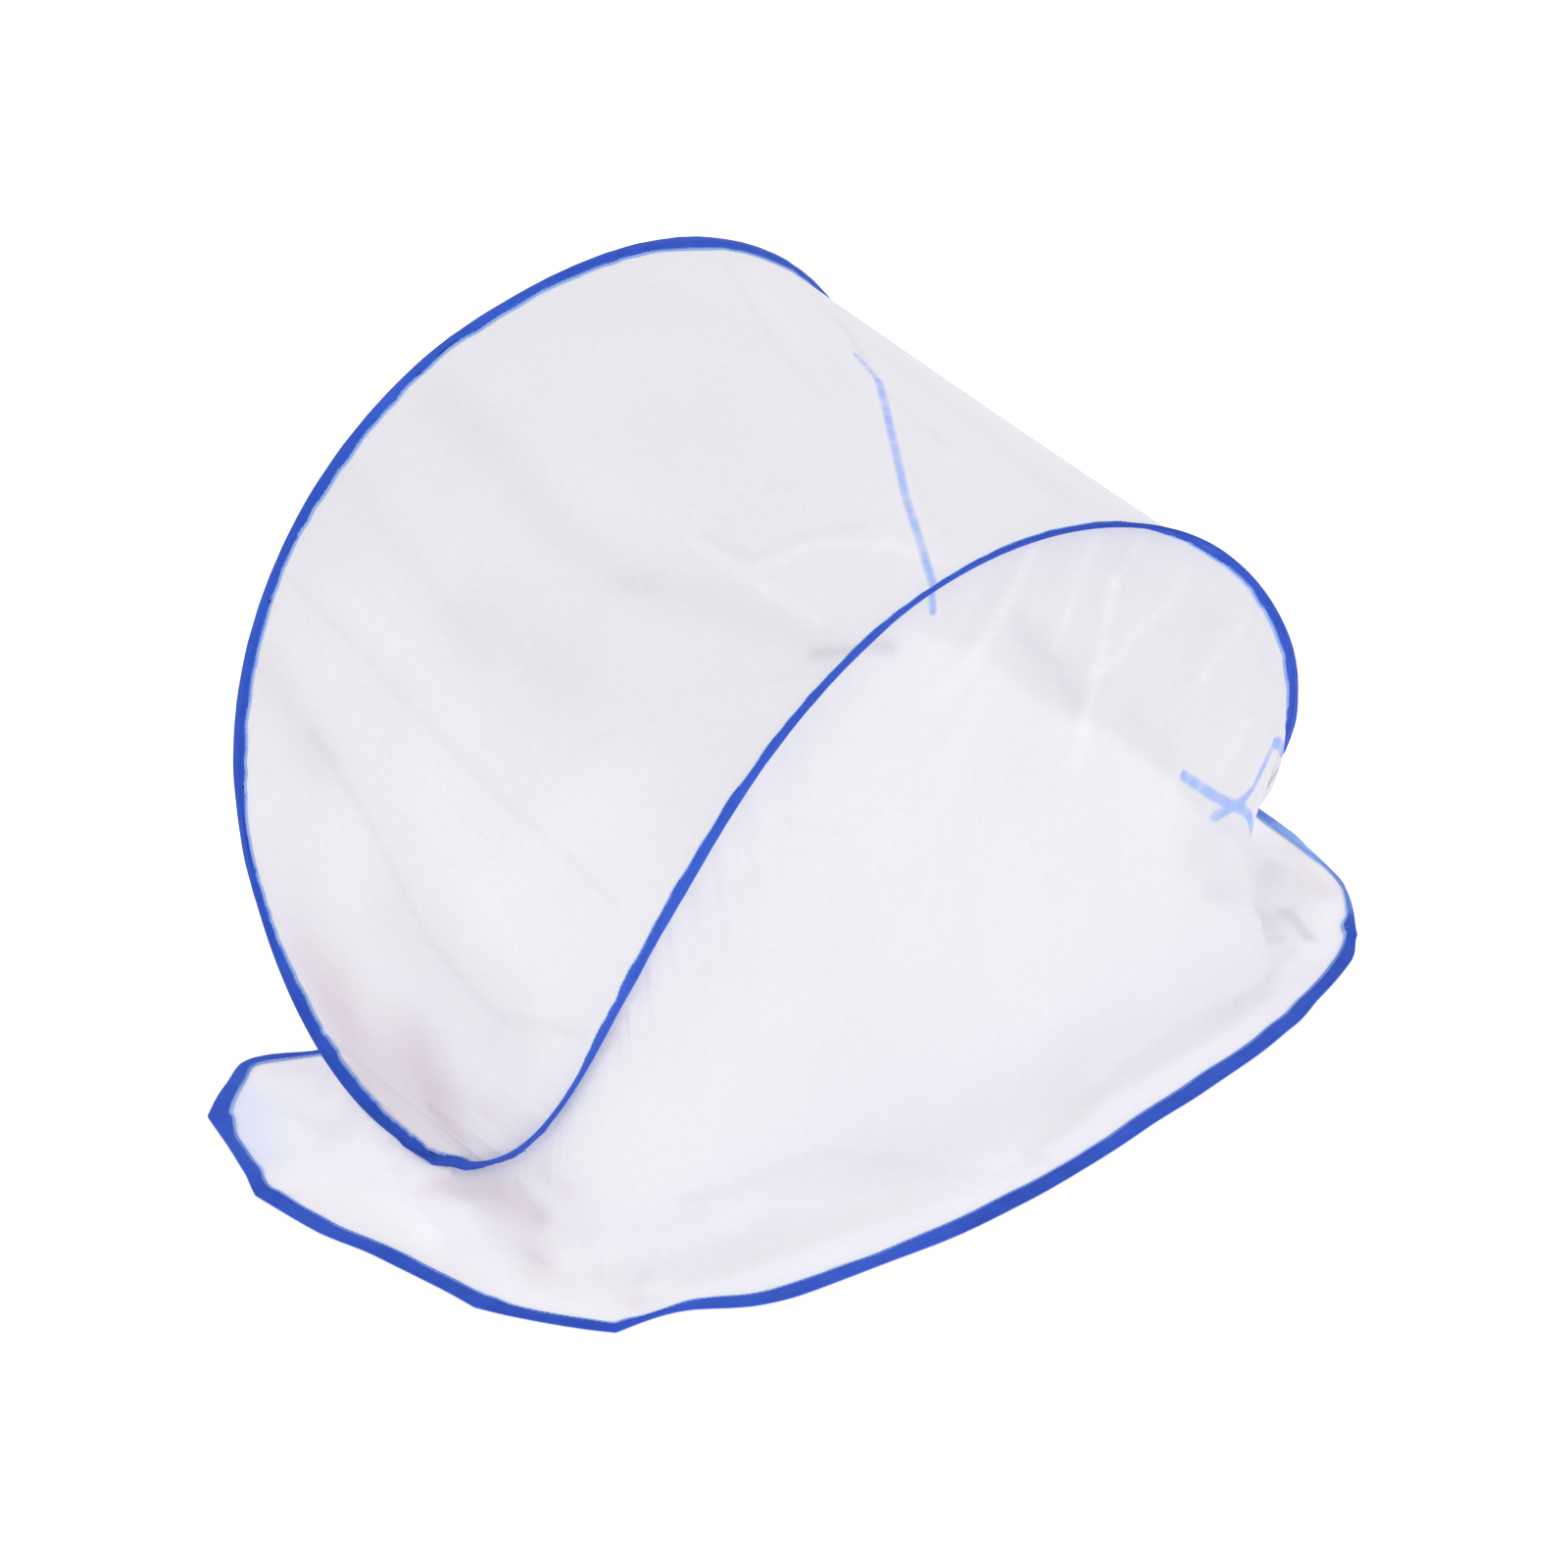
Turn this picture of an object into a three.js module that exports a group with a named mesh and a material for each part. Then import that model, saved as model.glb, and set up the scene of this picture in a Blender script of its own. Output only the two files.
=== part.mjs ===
// A pop-up mosquito net that covers one sleeper's head and shoulders, standing open.
//
// One closed loop of spring wire is bent to a saddle. It stands on two feet and rises to
// a low arch at the front and a higher one at the back. A lens-shaped roof of net is
// stretched between the arches, a D-shaped panel of net hangs from each of them, and both
// panels run out over the ground as a skirt. A folded tape binds the hoop, and the same
// tape, a little wider, binds the skirt's hem. The net has no floor.
//
// Millimetres. X runs from the left foot to the right foot, Y from front to back, Z up.
// Every piece shares one set of stations round the hoop: station 0 is the left foot, 24
// the top of the front arch, 48 the right foot and 72 the top of the back arch.
import * as THREE from "three";

// Driving dimensions of the hoop, to the middle of the wire.
const FOOT_HALF_SPAN = 254.6; // middle of the net to a foot
const FRONT_REACH = 184; // middle of the net forward to the front arch's top
const BACK_REACH = 131.5; // middle of the net back to the back arch's top
const FRONT_HEIGHT = 339; // front arch's top over the feet
const BACK_HEIGHT = 415; // back arch's top over the feet
const SHOULDER = 45.4; // how much the arches' shoulders stand wider than a plain oval's
const SQUARENESS = 35.2; // how much the loop's plan is squared off from an oval
const APEX_FLATNESS = 2.5; // how much the arches' tops are flattened
const FOOT_RISE = 5.2; // wire's height at the foot, over the net that passes under it

// Thicknesses and clearances.
const WIRE_RADIUS = 0.9;
const NET = 1; // one sheet of net
const TAPE = 0.7; // one ply of the folded tape
const GAP = 0.3; // between neighbouring pieces
const NET_FROM_TAPE = GAP + NET / 2; // from a ply's face to the middle of the net beside it
const BETWEEN_NETS = 0.5; // between roof and panel, where both lie in the hoop's tape

// The tape folded round the hoop, seen along the wire: reach runs from the wire's middle
// to the sewn edge, and the slot between the plies holds the edges of roof and panel.
const TAPE_REACH = 6;
const SLOT_HALF = GAP + NET + BETWEEN_NETS / 2;
const TAPE_HALF = SLOT_HALF + TAPE;
const NOSE_FLAT = 0.9; // half the flat on the tape's rounded nose
const SLOT_NOSE_FLAT = 0.6;
const NET_EDGE = 2.2; // wire's middle to the net's edge inside the slot
const PLY_TURN_RADIUS = TAPE / 2 + NET_FROM_TAPE; // net bending round a ply's sewn edge
const NOSE_TURN_RADIUS = 3.4; // net bending round the tape's nose

// The tape folded over the hem, lying flat: widths run inward from the hem's middle line.
const HEM_HALF_WIDTH = 4.5;
const HEM_HEIGHT = 2 * TAPE + 2 * GAP + NET;
const HEM_FOLD = 1; // thickness of the tape at its outer fold
const HEM_NET_EDGE = -2.8; // where the net ends inside the fold
const HEM_NET_IN = 6; // where the net leaves the fold
const HEM_NET_HEIGHT = TAPE + NET_FROM_TAPE;
const GROUND_NET_HEIGHT = GAP + NET / 2; // middle of the skirt over the ground

// How the net hangs.
const ROOF_SAG = 1; // middle of the roof under a straight line between the arches
const KNEE = 34; // length of net, hanging and lying, over which a panel turns to the ground
const LONGEST_KNEE = 0.45; // and the most that it takes of either length
const SEAM_HALF_GAP = 0.2; // half the gap between the panels at each side seam
const FOLD_CLEARANCE = 34; // from the tape to where a fold has its full height

// Where the hoop isn't even: a small bend that shifts the wire round one place. Degrees
// are counted from the front arch's top, to the right.
const HOOP_BENDS = [
  { degrees: 54, spread: 17, shift: [4, -1, 0] },
  { degrees: 76, spread: 14, shift: [0, 6, 5] },
  { degrees: 38, spread: 12, shift: [0, -2, -3] },
  { degrees: 263, spread: 14, shift: [-4, 0, 0] },
];

const STATIONS = 96;
const QUARTER = STATIONS / 4;
const FOOT_CROWDING = 0.1; // stations lie closer at the feet than at the tops
const SMALL_ANGLE = 0.001;
const FULL_TURN = 360;
const UP = new THREE.Vector3(0, 0, 1);

// How far the tape turns from the roof's surface towards the panel's, in degrees: 0 lies
// in the roof, and half the angle between roof and panel is about 45 at the arches' tops.
const TAPE_LEAN = [
  { station: 0, lean: 0 },
  { station: 9, lean: 0 },
  { station: 24, lean: 50 },
  { station: 34, lean: 52 },
  { station: 48, lean: 0 },
  { station: 62, lean: 38 },
  { station: 72, lean: 38 },
  { station: 82, lean: 32 },
  { station: 96, lean: 0 },
];

// The hem's middle line on the ground, as the skirt happens to lie, and the line where
// the hanging panel meets the ground. A row with a corner is a sharp bend in the hem.
const HEM = [
  { station: 0, x: -340, y: 30, landX: -274, landY: 27, corner: true },
  { station: 2, x: -337, y: -16, landX: -272, landY: -17 },
  { station: 4, x: -331, y: -59, landX: -271, landY: -54 },
  { station: 7, x: -322, y: -129, landX: -272, landY: -98, corner: true },
  { station: 9, x: -304, y: -162, landX: -271, landY: -126 },
  { station: 11, x: -285, y: -192, landX: -262, landY: -155, corner: true },
  { station: 13, x: -245, y: -201, landX: -243, landY: -171 },
  { station: 14.5, x: -215, y: -220, landX: -221, landY: -181 },
  { station: 16.5, x: -183, y: -229, landX: -188, landY: -188 },
  { station: 21, x: -75, y: -241, landX: -80, landY: -196 },
  { station: 24, x: 0, y: -240, landX: 0, landY: -197 },
  { station: 27.5, x: 90, y: -228, landX: 95, landY: -194 },
  { station: 31.5, x: 188, y: -214, landX: 189, landY: -187 },
  { station: 34, x: 236, y: -203, landX: 226, landY: -175 },
  { station: 36, x: 280, y: -187, landX: 248, landY: -153 },
  { station: 38, x: 308, y: -172, landX: 264, landY: -119, corner: true },
  { station: 41, x: 351, y: -124, landX: 273, landY: -82 },
  { station: 43, x: 369, y: -80, landX: 276, landY: -57 },
  { station: 45.5, x: 385, y: -25, landX: 277, landY: -20 },
  { station: 48, x: 394, y: 21, landX: 277, landY: 25 },
  { station: 51, x: 382, y: 70, landX: 277, landY: 73 },
  { station: 54, x: 342, y: 124, landX: 276, landY: 121 },
  { station: 57, x: 298, y: 164, landX: 267, landY: 150 },
  { station: 60, x: 252, y: 181, landX: 246, landY: 160 },
  { station: 64, x: 196, y: 178, landX: 194, landY: 156 },
  { station: 68, x: 105, y: 166, landX: 105, landY: 144 },
  { station: 72, x: 0, y: 158, landX: 0, landY: 136 },
  { station: 76, x: -88, y: 151, landX: -88, landY: 129 },
  { station: 80, x: -160, y: 138, landX: -158, landY: 116 },
  { station: 83, x: -205, y: 127, landX: -202, landY: 106 },
  { station: 85, x: -232, y: 127, landX: -224, landY: 105 },
  { station: 87, x: -268, y: 146, landX: -236, landY: 103 },
  { station: 88.5, x: -292, y: 133, landX: -241, landY: 98 },
  { station: 90, x: -315, y: 112, landX: -249, landY: 90, corner: true },
  { station: 92.5, x: -327, y: 73, landX: -259, landY: 65 },
  { station: 96, x: -340, y: 30, landX: -274, landY: 27, corner: true },
];

// Soft folds: each is a ridge that stands out of the cloth along a straight line, or a
// trough where its lift is below zero. The fold has sunk to a third of its lift at its
// width away from the line.
const ROOF_FOLDS = [
  { from: [-136, 110, 367], to: [-155, 10, 334], width: 26, lift: -4 },
  { from: [-155, 10, 334], to: [-129, -148, 314], width: 24, lift: -3.5 },
  { from: [-176, 30, 317], to: [-160, -107, 303], width: 18, lift: 3.5 },
  { from: [-212, 80, 280], to: [-212, -63, 253], width: 22, lift: -3 },
  { from: [-244, 90, 208], to: [-246, -18, 183], width: 20, lift: -4 },
  { from: [-246, -18, 183], to: [-244, -150, 166], width: 22, lift: 3 },
  { from: [-260, 78, 74], to: [-260, -7, 62], width: 20, lift: 4 },
  { from: [45, 101, 403], to: [0, -60, 365], width: 30, lift: -3 },
  { from: [190, 120, 320], to: [200, -120, 255], width: 26, lift: -3 },
];
const FRONT_FOLDS = [
  { from: [-5, -184, 322], to: [-53, -188, 250], width: 12, lift: 5 },
  { from: [31, -184, 322], to: [20, -190, 240], width: 10, lift: 4 },
  { from: [83, -184, 305], to: [46, -192, 190], width: 13, lift: 6 },
  { from: [149, -184, 250], to: [112, -192, 170], width: 12, lift: 5 },
  { from: [205, -180, 215], to: [175, -190, 130], width: 14, lift: 4 },
  { from: [-140, -184, 290], to: [-150, -190, 150], width: 16, lift: 4 },
  { from: [-190, -180, 200], to: [-215, -170, 60], width: 16, lift: 5 },
  { from: [-262, -12, 2], to: [-274, -125, 2], width: 14, lift: 7 },
  { from: [-274, -125, 2], to: [-286, -184, 2], width: 12, lift: 6 },
  { from: [-300, 0, 2], to: [-300, -110, 2], width: 12, lift: 3.5 },
  { from: [268, -150, 2], to: [326, -102, 2], width: 14, lift: 6 },
  { from: [326, -102, 2], to: [340, -69, 2], width: 13, lift: 7 },
  { from: [290, -110, 2], to: [352, -84, 2], width: 10, lift: 5 },
  { from: [60, -203, 2], to: [205, -176, 2], width: 15, lift: 5 },
];
const BACK_FOLDS = [
  { from: [-40, 134, 380], to: [-60, 138, 60], width: 16, lift: 5 },
  { from: [60, 136, 370], to: [40, 142, 80], width: 18, lift: 5 },
  { from: [140, 142, 320], to: [150, 150, 90], width: 16, lift: 5 },
  { from: [-150, 142, 310], to: [-150, 128, 90], width: 16, lift: 5 },
  { from: [215, 154, 240], to: [212, 160, 40], width: 16, lift: 4 },
  { from: [-290, 60, 2], to: [-300, 100, 2], width: 12, lift: 5 },
  { from: [290, 80, 2], to: [355, 70, 2], width: 14, lift: 6 },
];

function stationAngle(station) {
  const even = (2 * Math.PI * (station - QUARTER)) / STATIONS;
  return even + FOOT_CROWDING * Math.sin(2 * even);
}

// The wire's middle line. The angle is 0 at the front arch's top and grows to the right.
function hoopPoint(angle) {
  const reach = (FRONT_REACH + BACK_REACH) / 2;
  const skew = (FRONT_REACH - BACK_REACH) / 2;
  const height = (FRONT_HEIGHT + BACK_HEIGHT) / 4;
  const lean = (BACK_HEIGHT - FRONT_HEIGHT) / 2;
  const x = (FOOT_HALF_SPAN + SHOULDER) * Math.sin(angle) + SHOULDER * Math.sin(3 * angle);
  const plan = (reach + SQUARENESS) * Math.cos(angle) - SQUARENESS * Math.cos(3 * angle);
  const y = -plan - skew * Math.cos(2 * angle);
  const arch = height * (1 + Math.cos(2 * angle)) - lean * Math.cos(angle);
  const z = arch + APEX_FLATNESS * (1 - Math.cos(4 * angle)) + FOOT_RISE;
  const place = new THREE.Vector3(x, y, z);
  for (const bend of HOOP_BENDS) {
    const away = THREE.MathUtils.radToDeg(angle) - bend.degrees;
    const nearest = away - FULL_TURN * Math.round(away / FULL_TURN);
    const strength = Math.exp(-((nearest / bend.spread) ** 2));
    place.addScaledVector(new THREE.Vector3(...bend.shift), strength);
  }
  return place;
}

function withoutPartAlong(vector, axis) {
  return vector.clone().addScaledVector(axis, -vector.dot(axis));
}

function mix(from, to, share) {
  return from.clone().lerp(to, share);
}

// Reads one column of a table of rows between two stations, with eased steps.
function readEased(rows, column, station) {
  const next = rows.findIndex((row) => row.station > station);
  if (next < 0) return rows.at(-1)[column];
  const low = rows[next - 1];
  const high = rows[next];
  const share = (station - low.station) / (high.station - low.station);
  const eased = share * share * (3 - 2 * share);
  return low[column] + (high[column] - low[column]) * eased;
}

// The hem's slope in a column at one row, seen from the side that a stretch lies on.
function hemSlope(index, column, towardsNext) {
  const last = HEM.length - 1;
  const here = HEM[index];
  const before = index > 0 ? HEM[index - 1] : HEM[last - 1];
  const after = index < last ? HEM[index + 1] : HEM[1];
  const gapBefore = (here.station - before.station + STATIONS) % STATIONS;
  const gapAfter = (after.station - here.station + STATIONS) % STATIONS;
  if (here.corner && towardsNext) return (after[column] - here[column]) / gapAfter;
  if (here.corner) return (here[column] - before[column]) / gapBefore;
  return (after[column] - before[column]) / (gapBefore + gapAfter);
}

// A smooth curve through the hem's rows, broken only at its corners.
function readHem(column, station) {
  const wrapped = ((station % STATIONS) + STATIONS) % STATIONS;
  const next = HEM.findIndex((row) => row.station > wrapped);
  const low = HEM[next - 1];
  const high = HEM[next];
  const span = high.station - low.station;
  const s = (wrapped - low.station) / span;
  const startSlope = hemSlope(next - 1, column, true) * span;
  const endSlope = hemSlope(next, column, false) * span;
  const startPart = low[column] * (1 + 2 * s) * (1 - s) ** 2 + startSlope * s * (1 - s) ** 2;
  const endPart = high[column] * s * s * (3 - 2 * s) + endSlope * s * s * (s - 1);
  return startPart + endPart;
}

function hemPoint(station) {
  return new THREE.Vector3(readHem("x", station), readHem("y", station), 0);
}

// The hem's middle at a station, the direction inward from it, and how much a width
// grows there because the hem bends.
function hemFrame(station) {
  const at = hemPoint(station);
  const before = at.clone().sub(hemPoint(station - 1)).normalize();
  const after = hemPoint(station + 1).sub(at).normalize();
  const along = before.clone().add(after).normalize();
  return { at, along, inward: UP.clone().cross(along), mitre: 1 / along.dot(after) };
}

function hemPlace(frame, inward, height) {
  const place = frame.at.clone().addScaledVector(frame.inward, inward * frame.mitre);
  place.z = height;
  return place;
}

// Where the panel meets the ground.
function landing(station) {
  return new THREE.Vector3(readHem("landX", station), readHem("landY", station), GROUND_NET_HEIGHT);
}

// The hoop at a station: the wire's middle, the direction along it, the direction in
// which the tape's sewn edge lies, and the direction its face on the roof's side faces.
function hoopFrame(station) {
  const angle = stationAngle(station);
  const at = hoopPoint(angle);
  const ahead = hoopPoint(angle + SMALL_ANGLE);
  const behind = hoopPoint(angle - SMALL_ANGLE);
  const along = ahead.clone().sub(behind).normalize();
  const bend = ahead.add(behind).addScaledVector(at, -2);
  const across = hoopPoint(Math.PI - angle).sub(at);
  const atFoot = across.length() < 1;
  const intoRoof = withoutPartAlong(atFoot ? bend : across, along).normalize();
  const roofOut = along.clone().cross(intoRoof);
  const lean = THREE.MathUtils.degToRad(readEased(TAPE_LEAN, "lean", station));
  const tail = intoRoof.multiplyScalar(Math.cos(lean)).addScaledVector(roofOut, -Math.sin(lean));
  return { at, along, tail, roofSide: along.clone().cross(tail) };
}

function hoopPlace(frame, reach, side) {
  const place = frame.at.clone().addScaledVector(frame.tail, reach);
  return place.addScaledVector(frame.roofSide, side);
}

// The heading in which a net that bends round a centre leaves it for a target, all in the
// plane across the hoop: heading 0 runs along the tape, and it turns towards the target.
function leavingHeading(centre, radius, target) {
  const reach = target.x - centre.x;
  const side = target.y - centre.y;
  const bearing = Math.atan2(side, reach);
  const forward = bearing < -Math.PI / 2 ? bearing + 2 * Math.PI : bearing;
  return forward + Math.asin(Math.min(1, radius / Math.hypot(reach, side)));
}

function onTurn(centre, radius, heading) {
  return {
    reach: centre.x + radius * Math.sin(heading),
    side: centre.y - radius * Math.cos(heading),
    heading,
  };
}

function onStraight(start, distance) {
  return {
    reach: start.reach + distance * Math.cos(start.heading),
    side: start.side + distance * Math.sin(start.heading),
    heading: start.heading,
  };
}

const PLY_END = new THREE.Vector2(TAPE_REACH, SLOT_HALF + TAPE / 2);
const WIRE_MIDDLE = new THREE.Vector2(0, 0);
const STRAIGHT_STEPS = [6, 8.5, 11];
const ROOF_STRAIGHT = 2;

// The corners of a net that bends round the ply's sewn edge, outside the true curve so
// that its straight runs touch the curve and come no nearer.
function plyCorners(leaving, count) {
  const step = leaving / count;
  const radius = PLY_TURN_RADIUS / Math.cos(step / 2);
  return Array.from({ length: count }, (_, i) => onTurn(PLY_END, radius, step * (i + 0.5)));
}

// The first rows of a net: out of the tape's slot, round the ply's sewn edge towards the
// target and, where the target lies behind, on round the tape's nose. side is 1 for the
// roof and -1 for a panel.
function rowsFromTape(frame, side, target, passesNose) {
  const offset = target.clone().sub(frame.at);
  const flat = new THREE.Vector2(offset.dot(frame.tail), side * offset.dot(frame.roofSide));
  const heading = Math.max(0, leavingHeading(PLY_END, PLY_TURN_RADIUS, flat));
  const leaving = Math.min(heading, Math.PI);
  const end = onTurn(PLY_END, PLY_TURN_RADIUS, leaving);
  const rows = [{ reach: NET_EDGE, side: SLOT_HALF - NET_FROM_TAPE, heading: 0 }];
  if (!passesNose) {
    rows.push(...plyCorners(leaving, 1), onStraight(end, ROOF_STRAIGHT));
  } else if (heading > Math.PI) {
    const last = leavingHeading(WIRE_MIDDLE, NOSE_TURN_RADIUS, flat);
    const turns = [Math.PI, (Math.PI + last) / 2, last];
    rows.push(...plyCorners(leaving, 2));
    rows.push(...turns.map((turn) => onTurn(WIRE_MIDDLE, NOSE_TURN_RADIUS, turn)));
  } else {
    rows.push(...plyCorners(leaving, 2));
    rows.push(...STRAIGHT_STEPS.map((step) => onStraight(end, step)));
  }
  return rows.map((row) => {
    const direction = frame.tail.clone().multiplyScalar(Math.cos(row.heading));
    direction.addScaledVector(frame.roofSide, side * Math.sin(row.heading));
    return {
      place: hoopPlace(frame, row.reach, side * row.side),
      normal: frame.along.clone().cross(direction),
    };
  });
}

function freeRow(place) {
  return { place, normal: null };
}

// One column of a panel, from the hoop's tape down to the ground and out to the hem.
const HANG_STEPS = [0.25, 0.5, 0.75, 1];
const KNEE_STEPS = [1 / 3, 2 / 3, 1];
const SKIRT_STEPS = [0.5];
function panelColumn(station, seamShift) {
  const hoop = hoopFrame(station);
  const hem = hemFrame(station);
  const land = landing(station);
  const hemIn = hemPlace(hem, HEM_NET_IN, HEM_NET_HEIGHT);
  const rows = rowsFromTape(hoop, -1, land, true);
  const top = rows.at(-1).place;
  const hang = land.clone().sub(top);
  const skirt = hemIn.clone().sub(land);
  const kneeStart = mix(land, top, Math.min(KNEE / hang.length(), LONGEST_KNEE));
  const kneeEnd = mix(land, hemIn, Math.min(KNEE / skirt.length(), LONGEST_KNEE));
  const knee = new THREE.QuadraticBezierCurve3(kneeStart, land, kneeEnd);
  rows.push(...HANG_STEPS.map((step) => freeRow(mix(top, kneeStart, step))));
  rows.push(...KNEE_STEPS.map((step) => freeRow(knee.getPoint(step))));
  rows.push(...SKIRT_STEPS.map((step) => freeRow(mix(kneeEnd, hemIn, step))));
  const flat = UP.clone().negate();
  rows.push({ place: hemIn, normal: flat });
  rows.push({ place: hemPlace(hem, HEM_NET_EDGE, HEM_NET_HEIGHT), normal: flat });
  const seam = hoop.along.clone().multiplyScalar(seamShift);
  for (const row of rows) row.place.add(seam);
  return { rows, along: seamShift === 0 ? null : hoop.along };
}

// One column of the roof, from the front arch's tape to the back arch's.
const ROOF_STEPS = 9;
function roofColumn(station) {
  const front = hoopFrame(station);
  const back = hoopFrame(STATIONS - station);
  const frontRows = rowsFromTape(front, 1, hoopPlace(back, TAPE_REACH, 0), false);
  const backRows = rowsFromTape(back, 1, hoopPlace(front, TAPE_REACH, 0), false).reverse();
  const start = frontRows.at(-1).place;
  const end = backRows[0].place;
  const sag = (ROOF_SAG * start.distanceTo(end)) / (FRONT_REACH + BACK_REACH);
  const rows = [...frontRows];
  for (let step = 1; step < ROOF_STEPS; step += 1) {
    const share = step / ROOF_STEPS;
    const place = mix(start, end, share);
    place.z -= sag * 4 * share * (1 - share);
    rows.push(freeRow(place));
  }
  rows.push(...backRows);
  return { rows, along: null };
}

// Sets the normal of every free row from its neighbours.
function freeNormals(columns) {
  const normals = columns.map((column) => column.rows.map((row) => row.normal));
  columns.forEach((column, c) => {
    column.rows.forEach((row, r) => {
      if (row.normal) return;
      const left = columns[Math.max(c - 1, 0)].rows[r].place;
      const right = columns[Math.min(c + 1, columns.length - 1)].rows[r].place;
      const along = column.along ?? right.clone().sub(left);
      const down = column.rows[r + 1].place.clone().sub(column.rows[r - 1].place);
      normals[c][r] = along.clone().cross(down).normalize();
    });
  });
  return normals;
}

// Lifts the free rows out of the cloth along its folds, which die away towards the tapes.
// outward is 1 where the cloth's normals point out of the net and -1 where they point in.
function addFolds(columns, folds, outward) {
  const normals = freeNormals(columns);
  const lines = folds.map((fold) => {
    const line = new THREE.Line3(new THREE.Vector3(...fold.from), new THREE.Vector3(...fold.to));
    return { line, ...fold };
  });
  const nearest = new THREE.Vector3();
  columns.forEach((column, c) => {
    const held = column.rows.filter((row) => row.normal).map((row) => row.place);
    column.rows.forEach((row, r) => {
      if (row.normal) return;
      const free = Math.min(...held.map((place) => place.distanceTo(row.place)));
      let lift = 0;
      for (const { line, width, lift: height } of lines) {
        line.closestPointToPoint(row.place, true, nearest);
        lift += height * Math.exp(-((nearest.distanceTo(row.place) / width) ** 2));
      }
      lift *= THREE.MathUtils.smoothstep(free, 0, FOLD_CLEARANCE);
      row.place.addScaledVector(normals[c][r], outward * lift);
      row.place.z = Math.max(row.place.z, GROUND_NET_HEIGHT);
    });
  });
}

// A closed sheet of net, half its thickness to each side of its columns of rows. Its
// squares are split along the diagonal that the tape's ply beside it has too.
function netSheet(columns, splitBack) {
  const normals = freeNormals(columns);
  const rowCount = columns[0].rows.length;
  const positions = [];
  for (const half of [NET / 2, -NET / 2]) {
    columns.forEach((column, c) => {
      column.rows.forEach((row, r) => {
        positions.push(...row.place.clone().addScaledVector(normals[c][r], half));
      });
    });
  }
  const layer = columns.length * rowCount;
  const index = (column, row) => column * rowCount + row;
  const triangles = [];
  const addQuad = (a, b, c, d) => triangles.push(a, b, c, a, c, d);
  const addSquare = (a, b, c, d) => {
    addQuad(a, b, c, d);
    addQuad(a + layer, d + layer, c + layer, b + layer);
  };
  for (let c = 0; c < columns.length - 1; c += 1) {
    for (let r = 0; r < rowCount - 1; r += 1) {
      const corners = [index(c, r), index(c + 1, r), index(c + 1, r + 1), index(c, r + 1)];
      if (splitBack) corners.push(corners.shift());
      addSquare(...corners);
    }
  }
  const outline = [];
  for (let c = 0; c < columns.length - 1; c += 1) outline.push(index(c, 0));
  for (let r = 0; r < rowCount - 1; r += 1) outline.push(index(columns.length - 1, r));
  for (let c = columns.length - 1; c > 0; c -= 1) outline.push(index(c, rowCount - 1));
  for (let r = rowCount - 1; r > 0; r -= 1) outline.push(index(0, r));
  outline.forEach((corner, i) => {
    const next = outline[(i + 1) % outline.length];
    addQuad(next, corner, corner + layer, next + layer);
  });
  return closedGeometry(positions, triangles);
}

// A closed ring: the section's points, given for each station, joined all the way round.
function closedRing(sectionAt) {
  const positions = [];
  const triangles = [];
  for (let station = 0; station < STATIONS; station += 1) {
    for (const place of sectionAt(station)) positions.push(...place);
  }
  const count = positions.length / 3 / STATIONS;
  for (let station = 0; station < STATIONS; station += 1) {
    const here = station * count;
    const there = ((station + 1) % STATIONS) * count;
    for (let i = 0; i < count; i += 1) {
      const next = (i + 1) % count;
      triangles.push(here + i, here + next, there + next);
      triangles.push(here + i, there + next, there + i);
    }
  }
  return closedGeometry(positions, triangles);
}

function closedGeometry(positions, triangles) {
  const geometry = new THREE.BufferGeometry();
  geometry.setAttribute("position", new THREE.Float32BufferAttribute(positions, 3));
  geometry.setIndex(triangles);
  geometry.computeVertexNormals();
  return geometry;
}

function wireHoop() {
  const sides = 6;
  return closedRing((station) => {
    const frame = hoopFrame(station);
    return Array.from({ length: sides }, (_, i) => {
      const turn = (2 * Math.PI * i) / sides;
      return hoopPlace(frame, WIRE_RADIUS * Math.cos(turn), WIRE_RADIUS * Math.sin(turn));
    });
  });
}

// The tape is folded round the wire and open towards its sewn edge.
function hoopBinding() {
  const section = [
    [TAPE_REACH, TAPE_HALF],
    [-NOSE_FLAT, TAPE_HALF],
    [-TAPE_HALF, NOSE_FLAT],
    [-TAPE_HALF, -NOSE_FLAT],
    [-NOSE_FLAT, -TAPE_HALF],
    [TAPE_REACH, -TAPE_HALF],
    [TAPE_REACH, -SLOT_HALF],
    [-SLOT_NOSE_FLAT, -SLOT_HALF],
    [-SLOT_HALF, -SLOT_NOSE_FLAT],
    [-SLOT_HALF, SLOT_NOSE_FLAT],
    [-SLOT_NOSE_FLAT, SLOT_HALF],
    [TAPE_REACH, SLOT_HALF],
  ];
  return closedRing((station) => {
    const frame = hoopFrame(station);
    return section.map(([reach, side]) => hoopPlace(frame, reach, side));
  });
}

// The hem's tape lies flat on the ground, folded over the net's edge and open inward.
function rimBinding() {
  const section = [
    [-HEM_HALF_WIDTH, 0],
    [HEM_HALF_WIDTH, 0],
    [HEM_HALF_WIDTH, TAPE],
    [HEM_FOLD - HEM_HALF_WIDTH, TAPE],
    [HEM_FOLD - HEM_HALF_WIDTH, HEM_HEIGHT - TAPE],
    [HEM_HALF_WIDTH, HEM_HEIGHT - TAPE],
    [HEM_HALF_WIDTH, HEM_HEIGHT],
    [-HEM_HALF_WIDTH, HEM_HEIGHT],
  ];
  return closedRing((station) => {
    const frame = hemFrame(station);
    return section.map(([inward, height]) => hemPlace(frame, inward, height));
  });
}

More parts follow.
